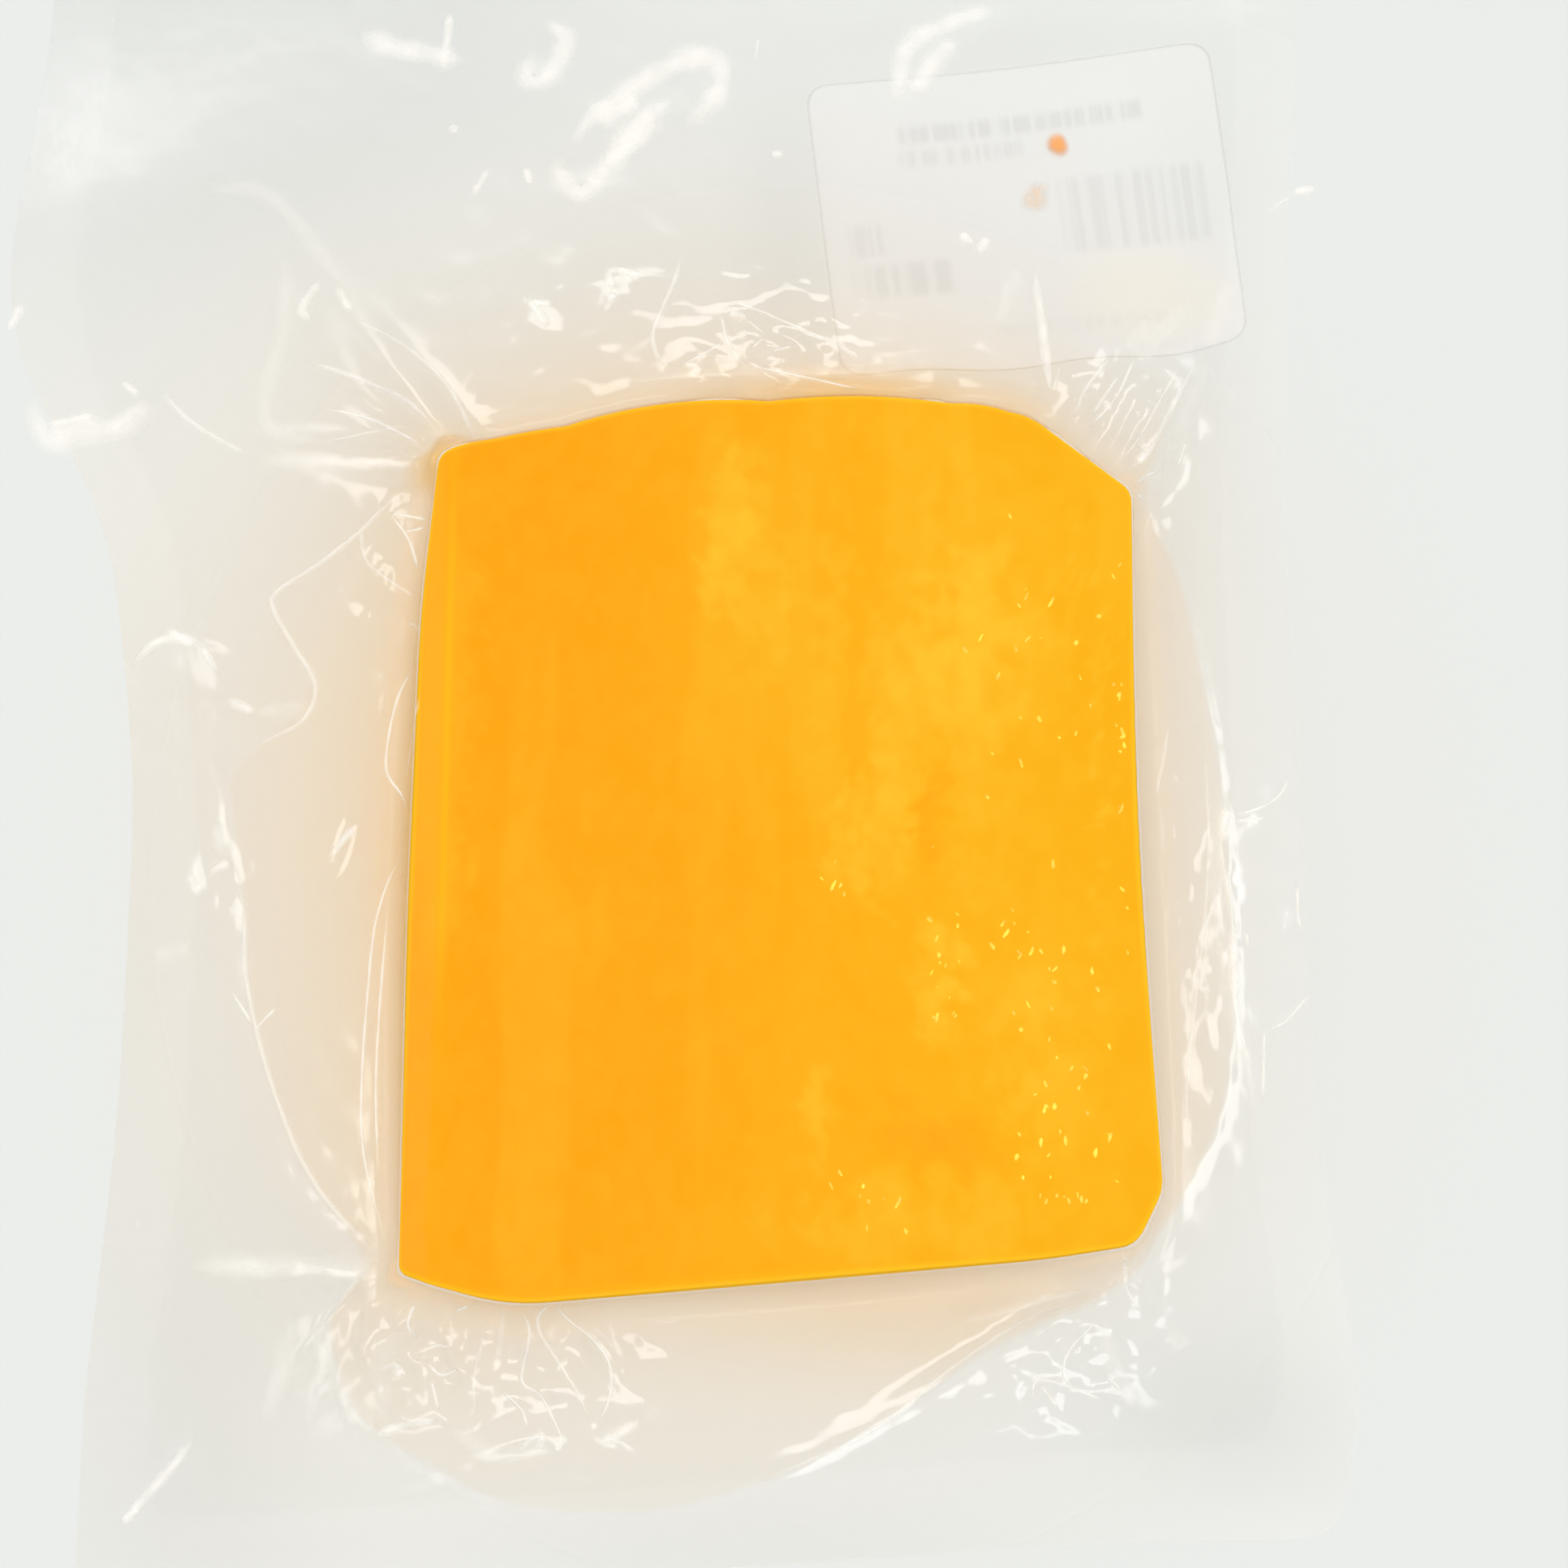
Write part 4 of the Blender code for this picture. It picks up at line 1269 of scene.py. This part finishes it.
def cheese_finish():
    """Cheddar: orange, brighter to the right as painted light, with pale streaks, mottled patches, and a
    sloping left side lit by painted light.
    """
    colours = bpy.context.scene.cheddar_colours
    made, bench, output = new_finish("cheddar_cheese")
    place = bench.add("ShaderNodeTexCoord").outputs["Object"]
    across = bench.add("ShaderNodeSeparateXYZ", {0: place}).outputs[0]
    from_edge, paler, deeper = (bench.attribute(mark) for mark in ("from_edge", "paler", "deeper"))
    left_x, right_x, strip_x = (drawn(x, 0)[0] for x in (*LIGHT_RUN, LEFT_CREASE_X))
    streaks = mottle_at(bench, place, 0.14, 120, 0.50, 0.66)
    blots = mottle_at(bench, place, 0.8, 170, 0.36, 0.64)
    specks = mottle_at(bench, place, 0.7, 420, 0.38, 0.62)

    # Colour brighter to the right as painted light, deeper patches, and a faint unevenness all over
    colour = bench.mix(bench.ramp(across, left_x, right_x), colours.cheese, colours.cheese_lit)
    share = bench.math("MULTIPLY", deeper, bench.math("MULTIPLY_ADD", blots, 0.5, 0.5))
    colour = bench.mix(share, colour, colours.cheese_deep)
    share = bench.math("MULTIPLY", streaks, STREAK_SHARE)
    share = bench.math("MULTIPLY_ADD", specks, SPECK_SHARE, share)
    share = bench.math("MULTIPLY_ADD", blots, BLOT_SHARE, share)
    colour = bench.mix(share, colour, colours.cheese_mottle)

    # Pale, cell-like patches
    cells = bench.math("MULTIPLY_ADD", blots, 0.5, bench.math("MULTIPLY_ADD", specks, 0.45, 0.25))
    colour = bench.mix(bench.math("MULTIPLY", paler, cells), colour, colours.cheese_mottle)

    # Sloping strip on the left, made lighter as painted light, and the painted highlight at its crease
    strip = bench.ramp(across, strip_x + 2.0 * METRE, strip_x - 1.5 * METRE)
    share = bench.math("MULTIPLY", strip, bench.math("MULTIPLY_ADD", streaks, 0.45, 0.35))
    colour = bench.mix(share, colour, colours.cheese_lit)
    from_crease = bench.math("ABSOLUTE", bench.math("SUBTRACT", across, strip_x))
    line = bench.ramp(from_crease, 0.7 * METRE, 0.1 * METRE)
    crease = bench.math("MULTIPLY", line, patch_at(bench, place, *CREASE_HIGHLIGHT))
    colour = bench.mix(bench.math("MULTIPLY", crease, 0.28), colour, colours.cheese_crease_highlight)

    # Painted glow along the low edge and at the rim, standing in for light that comes through
    low_edge = bench.ramp(bench.math("ABSOLUTE", bench.math("SUBTRACT", from_edge, 1.6)), 0.7, 0.1)
    lip = bench.math("MULTIPLY", low_edge, patch_at(bench, place, *LOW_EDGE_GLOW))
    colour = bench.mix(bench.math("MULTIPLY", lip, 0.5), colour, colours.cheese_lit)
    rim = bench.ramp(from_edge, 1.5, 0.4)
    colour = bench.mix(bench.math("MULTIPLY", rim, 0.8), colour, colours.cheese_rim_glow)

    # Fine grain on low lumps; at the rim the normal is bent up, which keeps the edge bright
    grain = bench.noise(place, 900.0, 1.0)
    lumps = bench.noise(place, 160.0, 1.0)
    relief = bench.math("ADD", bench.math("MULTIPLY", grain, 0.25), lumps)
    bump = bench.add("ShaderNodeBump", {"Height": relief, "Strength": 0.25, "Distance": 0.0004}).outputs[0]
    upward = bench.add("ShaderNodeCombineXYZ", {2: bench.math("MULTIPLY", rim, 1.6)}).outputs[0]
    values = {
        "Base Color": colour,
        "Roughness": bench.ramp(grain, 0.3, 0.7, 0.42, 0.58),
        "Normal": bench.vector("NORMALIZE", bench.vector("ADD", bump, upward)),
        "Specular IOR Level": 0.06,
    }
    shader = bench.add("ShaderNodeBsdfPrincipled", values)
    bench.tree.links.new(shader.outputs[0], output.inputs[0])
    return made


def film_finish():
    """Clear film: a thin haze that near the block turns to a painted warm glow of light from the cheese, and
    gloss that blurs towards the far end.
    """
    colours = bpy.context.scene.cheddar_colours
    made, bench, output = new_finish("clear_film")
    place = bench.add("ShaderNodeTexCoord").outputs["Object"]
    marks = ("haze", "warm", "seal", "loose", "shade", "soft")
    haze, warm, seal, loose, shade, soft = (bench.attribute(mark) for mark in marks)

    # Small ripples, and ribs across the heat seal
    ribs = bench.math("SINE", bench.math("MULTIPLY", seal, 38.0))
    ribs = bench.math("MULTIPLY", ribs, bench.ramp(seal, 0.0, 0.06))
    relief = bench.math("MULTIPLY_ADD", ribs, 0.015, bench.noise(place, 170.0, 1.0))
    bump = bench.add("ShaderNodeBump", {"Height": relief, "Strength": 0.30, "Distance": 0.0006}).outputs[0]

    # Haze over what light passes through; near the block it carries a painted warm glow, and painted shade
    # darkens the light passing in places
    milky_colour = bench.mix(warm, colours.film_haze, colours.film_glow)
    values = {"Base Color": milky_colour, "Roughness": 0.5, "Specular IOR Level": 0.0}
    milky = bench.add("ShaderNodeBsdfPrincipled", values)
    passing = bench.mix(shade, colours.film_clear, colours.film_shade)
    clear = bench.add("ShaderNodeBsdfTransparent", {"Color": passing})
    body = bench.add("ShaderNodeMixShader", {0: haze, 1: clear.outputs[0], 2: milky.outputs[0]})

    # Gloss, less of it where the film clings to the cheese and far out
    roughness = bench.ramp(soft, 0.0, 1.0, *FILM_ROUGHNESS)
    shine = bench.add("ShaderNodeBsdfGlossy", {"Roughness": roughness, "Normal": bump})
    fresnel = bench.add("ShaderNodeFresnel", {"IOR": 1.5, "Normal": bump}).outputs[0]
    gloss = bench.math("MULTIPLY", loose, bench.ramp(soft, 0.0, 1.0, 1.0, FAR_GLOSS))
    share = bench.math("MULTIPLY", bench.math("MINIMUM", fresnel, FILM_GLOSS), gloss)
    film = bench.add("ShaderNodeMixShader", {0: share, 1: body.outputs[0], 2: shine.outputs[0]})
    bench.tree.links.new(film.outputs[0], output.inputs[0])
    return made


def paper_finish():
    """White label paper with a faint fibre, painted warm light on one corner, and pale grey printed fields."""
    colours = bpy.context.scene.cheddar_colours
    made, bench, output = new_finish("label_paper")
    place = bench.add("ShaderNodeTexCoord").outputs["Object"]
    values = {"Vector": place, "Location": drawn(*LABEL_CENTRE), "Rotation": (0, 0, LABEL_TURN)}
    local = bench.add("ShaderNodeMapping", values, vector_type="TEXTURE").outputs[0]
    block = group_named("print_block", print_group)
    fibre = mottle_at(bench, place, 1, 1500, 0.3, 0.8)
    colour = bench.mix(bench.math("MULTIPLY", fibre, 0.12), colours.paper, colours.paper_shade)
    # Painted warm light on one corner
    cream = patch_at(bench, place, *WARM_LIT_CORNER)
    colour = bench.mix(bench.math("MULTIPLY", cream, 0.6), colour, colours.paper_warm_lit)
    for x, y, half_width, half_height, stripes, darkness in PRINT_FIELDS:
        values = {
            "Vector": local,
            "Middle": (x * METRE, y * METRE, 0),
            "Half Size": (half_width * METRE, half_height * METRE, 0),
            "Stripes": stripes / METRE,
        }
        mask = use_group(bench, block, values)
        colour = bench.mix(bench.math("MULTIPLY", mask, darkness), colour, colours.ink)
    grain = bench.noise(place, 2500.0, 2.0)
    bump = bench.add("ShaderNodeBump", {"Height": grain, "Strength": 0.08, "Distance": 0.0001}).outputs[0]
    values = {"Base Color": colour, "Roughness": 0.62, "Normal": bump, "Specular IOR Level": 0.3}
    shader = bench.add("ShaderNodeBsdfPrincipled", values)
    bench.tree.links.new(shader.outputs[0], output.inputs[0])
    return made


def drop_finish(name, first, second, soft_edge):
    """Cheese fat for the drops, and painted yellow glint for the flecks: mottled between two colours, slightly
    glossy, see-through towards a soft edge.
    """
    made, bench, output = new_finish(name)
    place = bench.add("ShaderNodeTexCoord").outputs["Object"]
    patches = mottle_at(bench, place, 1, 700, 0.35, 0.7)
    values = {"Base Color": bench.mix(patches, first, second), "Roughness": 0.4}
    if soft_edge:
        values["Alpha"] = bench.attribute("body")
    shader = bench.add("ShaderNodeBsdfPrincipled", values)
    bench.tree.links.new(shader.outputs[0], output.inputs[0])
    return made


def floor_finish():
    """Plain pale floor."""
    colours = bpy.context.scene.cheddar_colours
    made, bench, output = new_finish("pale_floor")
    values = {"Base Color": colours.floor, "Roughness": 0.7, "Specular IOR Level": 0.1}
    shader = bench.add("ShaderNodeBsdfPrincipled", values)
    bench.tree.links.new(shader.outputs[0], output.inputs[0])
    return made


def place_light(name, place, size, radiance, mirrored):
    """Area light of a radiance, turned to the pack, seen either in reflections only or never in them."""
    light = bpy.data.lights.new(name, "AREA")
    light.shape = "RECTANGLE"
    light.size, light.size_y = size
    light.energy = radiance * math.pi * size[0] * size[1]
    lamp = bpy.data.objects.new(name, light)
    toward = (np.array([*BLOCK_CENTRE, 0]) - DRAWN_MIDDLE) * METRE - np.array(place)
    flat = math.hypot(toward[0], toward[1])
    lamp.location = place
    lamp.rotation_euler = (math.atan2(flat, -toward[2]), 0, math.atan2(toward[1], toward[0]) - math.pi / 2)
    lamp.visible_glossy = mirrored
    lamp.visible_diffuse = not mirrored
    bpy.context.scene.collection.objects.link(lamp)


def place_sky(stage):
    """Light all round: bright near the horizon and dim overhead, by the height of the ray."""
    world = bpy.data.worlds.new("soft_room")
    world.use_nodes = True
    world.node_tree.nodes.clear()
    bench = NodeBench(world.node_tree)
    ray = bench.add("ShaderNodeTexCoord").outputs["Generated"]
    rise = bench.add("ShaderNodeSeparateXYZ", {0: ray}).outputs[2]
    bright = bench.ramp(rise, 0.45, 0.80, stage.room_light, stage.ceiling_light)
    room = bench.add("ShaderNodeBackground", {"Color": (1.0, 1.0, 1.0, 1), "Strength": bright})
    bench.add("ShaderNodeOutputWorld", {0: room.outputs[0]})
    bpy.context.scene.world = world


def colour_property(name, description, default):
    """Colour that a user may change."""
    return bpy.props.FloatVectorProperty(
        name=name, description=description, default=default, size=4, min=0.0, max=1.0, subtype="COLOR"
    )


class CheddarColours(bpy.types.PropertyGroup):
    """Colours of the pack."""

    cheese: colour_property("Cheese", "Deep orange of the cheddar", (0.98, 0.325, 0.002, 1.0))
    # Painted light: the cheese's brighter right side, also used for its lit left strip and low edge
    cheese_lit: colour_property("Cheese, right", "Brighter right side", (0.98, 0.385, 0.004, 1.0))
    cheese_mottle: colour_property("Mottling", "Patches under loose film", (0.98, 0.500, 0.026, 1.0))
    # Painted highlight along the left crease
    cheese_crease_highlight: colour_property("Crease", "Line along the left edge", (1.0, 0.500, 0.006, 1.0))
    cheese_deep: colour_property("Deep patches", "Deeper patches", (0.98, 0.295, 0.001, 1.0))
    # Painted glow of light through the cheese's edge
    cheese_rim_glow: colour_property("Rim", "Edge, where light comes through", (1.0, 0.56, 0.008, 1.0))
    film_clear: colour_property("Film", "Colour of light through the film", (0.998, 0.999, 0.995, 1.0))
    film_haze: colour_property("Film haze", "Haze of the open film", (0.92, 0.92, 0.89, 1.0))
    # Painted warm glow of light from the cheese, mixed into the film's haze
    film_glow: colour_property("Warm haze", "Haze beside the cheese", (0.76, 0.42, 0.06, 1.0))
    # Painted shade: darkens the light passing through the film in places
    film_shade: colour_property("Dark film", "Light through darker film", (0.945, 0.947, 0.945, 1.0))
    paper: colour_property("Paper", "White of the label", (0.74, 0.745, 0.73, 1.0))
    paper_shade: colour_property("Paper fibre", "Fibre in the label", (0.70, 0.70, 0.68, 1.0))
    # Painted warm light on the label's corner
    paper_warm_lit: colour_property("Cream", "Creamy corner of the label", (0.80, 0.76, 0.66, 1.0))
    ink: colour_property("Ink", "Grey of the printed fields", (0.25, 0.25, 0.25, 1.0))
    # Painted glint: the bright yellow of the fat flecks
    fat: colour_property("Fat", "Flecks on the cheese", (1.0, 0.78, 0.05, 1.0))
    crumb: colour_property("Crumb", "Orange drop in the film", (0.95, 0.36, 0.05, 1.0))
    smear: colour_property("Smear", "Faint drop in the film", (0.95, 0.66, 0.42, 1.0))
    floor: colour_property("Floor", "Pale floor", (0.705, 0.72, 0.70, 1.0))


class CheddarStage(bpy.types.PropertyGroup):
    """Camera and light."""

    camera_place: bpy.props.FloatVectorProperty(
        name="Camera",
        description="Place of the camera",
        default=(0.0158, -0.042, 0.231),
        size=3,
        unit="LENGTH",
    )
    camera_tilt: bpy.props.FloatProperty(
        name="Tilt",
        description="Tilt of the view away from straight down",
        default=math.radians(7.6),
        unit="ROTATION",
    )
    view_angle: bpy.props.FloatProperty(
        name="View angle",
        description="Angle of view of the camera",
        default=math.radians(50.0),
        unit="ROTATION",
    )
    room_light: bpy.props.FloatProperty(name="Room light", description="Light near the horizon", default=0.65)
    ceiling_light: bpy.props.FloatProperty(name="Ceiling", description="Light from the ceiling", default=0.50)
    lamp_light: bpy.props.FloatProperty(name="Lamp", description="Light of the lamp overhead", default=1.90)
    floor_size: bpy.props.FloatProperty(
        name="Floor", description="Width of the floor", default=6.0, unit="LENGTH"
    )


def film_material():
    """The film's finish, made the first time it is asked for."""
    return bpy.data.materials.get("clear_film") or film_finish()


def settle(piece, material_slot, *nodes):
    """Lets a piece ride on the pack and the solids that it stands for."""
    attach(piece, "root")
    if nodes:
        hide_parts(*nodes)


def settle_film(piece):
    """Settles a piece of film, which is too clear to cast a shadow or to colour what lies under it."""
    piece.visible_shadow = False
    piece.visible_diffuse = False
    settle(piece, "film", "sealed_pack")


class CHEDDAR_OT_cheese(bpy.types.Operator):
    """Adds the block of cheese and the flecks of fat on it, coloured as painted glints"""

    bl_idname = "cheddar.cheese"
    bl_label = "Add cheese"

    def execute(self, context):
        colours = context.scene.cheddar_colours
        cheese = build_cheese(cheese_finish())
        cheese.visible_shadow = False
        settle(cheese, "cheese", "sealed_pack")
        # The flecks' bright yellow stands for painted glints
        flecks = drop_finish("cheese_fat_glint", colours.fat, colours.cheese_mottle, False)
        settle(build_glint_flecks(flecks), "cheese", "sealed_pack")
        return {"FINISHED"}


class CHEDDAR_OT_film(bpy.types.Operator):
    """Adds the front and back sheets of clear film"""

    bl_idname = "cheddar.film"
    bl_label = "Add film"

    def execute(self, context):
        front = make_sheet("film_front", film_front, FRONT_RINGS, True, film_material())
        back = make_sheet("film_back", film_back, BACK_RINGS, False, film_material())
        settle_film(front)
        settle_film(back)
        return {"FINISHED"}


class CHEDDAR_OT_creases(bpy.types.Operator):
    """Adds the creases of the film"""

    bl_idname = "cheddar.creases"
    bl_label = "Add creases"

    def execute(self, context):
        settle_film(build_creases(film_material()))
        return {"FINISHED"}


class CHEDDAR_OT_label(bpy.types.Operator):
    """Adds the scale label under the back sheet"""

    bl_idname = "cheddar.label"
    bl_label = "Add label"

    def execute(self, context):
        label = build_label(paper_finish())
        label.visible_shadow = False
        label.visible_diffuse = False
        settle(label, "label_paper", "scale_label")
        return {"FINISHED"}


class CHEDDAR_OT_crumbs(bpy.types.Operator):
    """Adds the two drops of cheese between the sheets"""

    bl_idname = "cheddar.crumbs"
    bl_label = "Add crumbs"

    def execute(self, context):
        colours = context.scene.cheddar_colours
        kinds = (("cheese_drop", colours.crumb, colours.cheese), ("cheese_smear", colours.smear, colours.paper))
        for spot, (name, first, second) in zip(CRUMBS, kinds):
            settle(build_crumb(name, spot, drop_finish(name, first, second, True)), "cheese", "sealed_pack")
        return {"FINISHED"}


class CHEDDAR_OT_stage(bpy.types.Operator):
    """Adds the floor, the windows, the room light and the camera"""

    bl_idname = "cheddar.stage"
    bl_label = "Add stage"

    def execute(self, context):
        stage = context.scene.cheddar_stage
        unit = np.array([[-1, -1, 0], [1, -1, 0], [1, 1, 0], [-1, 1, 0]])
        corners = unit * stage.floor_size / METRE / 2 + DRAWN_MIDDLE - [0, 0, FLOOR_DROP]
        add_piece("floor", corners, [[0, 1, 2, 3]], floor_finish())
        for index, place in enumerate(WINDOWS):
            place_light(f"window_{index}", place, WINDOW_SIZE, WINDOW_RADIANCE, True)
        place_light("lamp", LAMP_PLACE, LAMP_SIZE, stage.lamp_light, False)
        place_sky(stage)
        data = bpy.data.cameras.new("camera")
        data.sensor_width = 36.0
        data.lens = data.sensor_width / 2 / math.tan(stage.view_angle / 2)
        data.clip_start = 0.01
        camera = bpy.data.objects.new("camera", data)
        camera.location = stage.camera_place
        camera.rotation_euler = (stage.camera_tilt, 0, 0)
        context.scene.collection.objects.link(camera)
        context.scene.camera = camera
        context.scene.view_settings.view_transform = "Standard"
        return {"FINISHED"}


OPERATORS = (
    CHEDDAR_OT_stage,
    CHEDDAR_OT_cheese,
    CHEDDAR_OT_film,
    CHEDDAR_OT_creases,
    CHEDDAR_OT_label,
    CHEDDAR_OT_crumbs,
)


class CHEDDAR_PT_sidebar(bpy.types.Panel):
    """Lists the steps that build the pack"""

    bl_label = "Cheddar"
    bl_space_type = "VIEW_3D"
    bl_region_type = "UI"
    bl_category = "Cheddar"

    def draw(self, context):
        for operator in OPERATORS:
            self.layout.operator(operator.bl_idname)


CLASSES = (CheddarColours, CheddarStage, *OPERATORS, CHEDDAR_PT_sidebar)


def register():
    for listed in CLASSES:
        bpy.utils.register_class(listed)
    bpy.types.Scene.cheddar_colours = bpy.props.PointerProperty(type=CheddarColours)
    bpy.types.Scene.cheddar_stage = bpy.props.PointerProperty(type=CheddarStage)


def unregister():
    del bpy.types.Scene.cheddar_stage
    del bpy.types.Scene.cheddar_colours
    for listed in reversed(CLASSES):
        bpy.utils.unregister_class(listed)


def main():
    """Builds the stage and the pack."""
    register()
    for step in ("stage", "cheese", "film", "creases", "label", "crumbs"):
        getattr(bpy.ops.cheddar, step)()


if __name__ == "__main__":
    main()
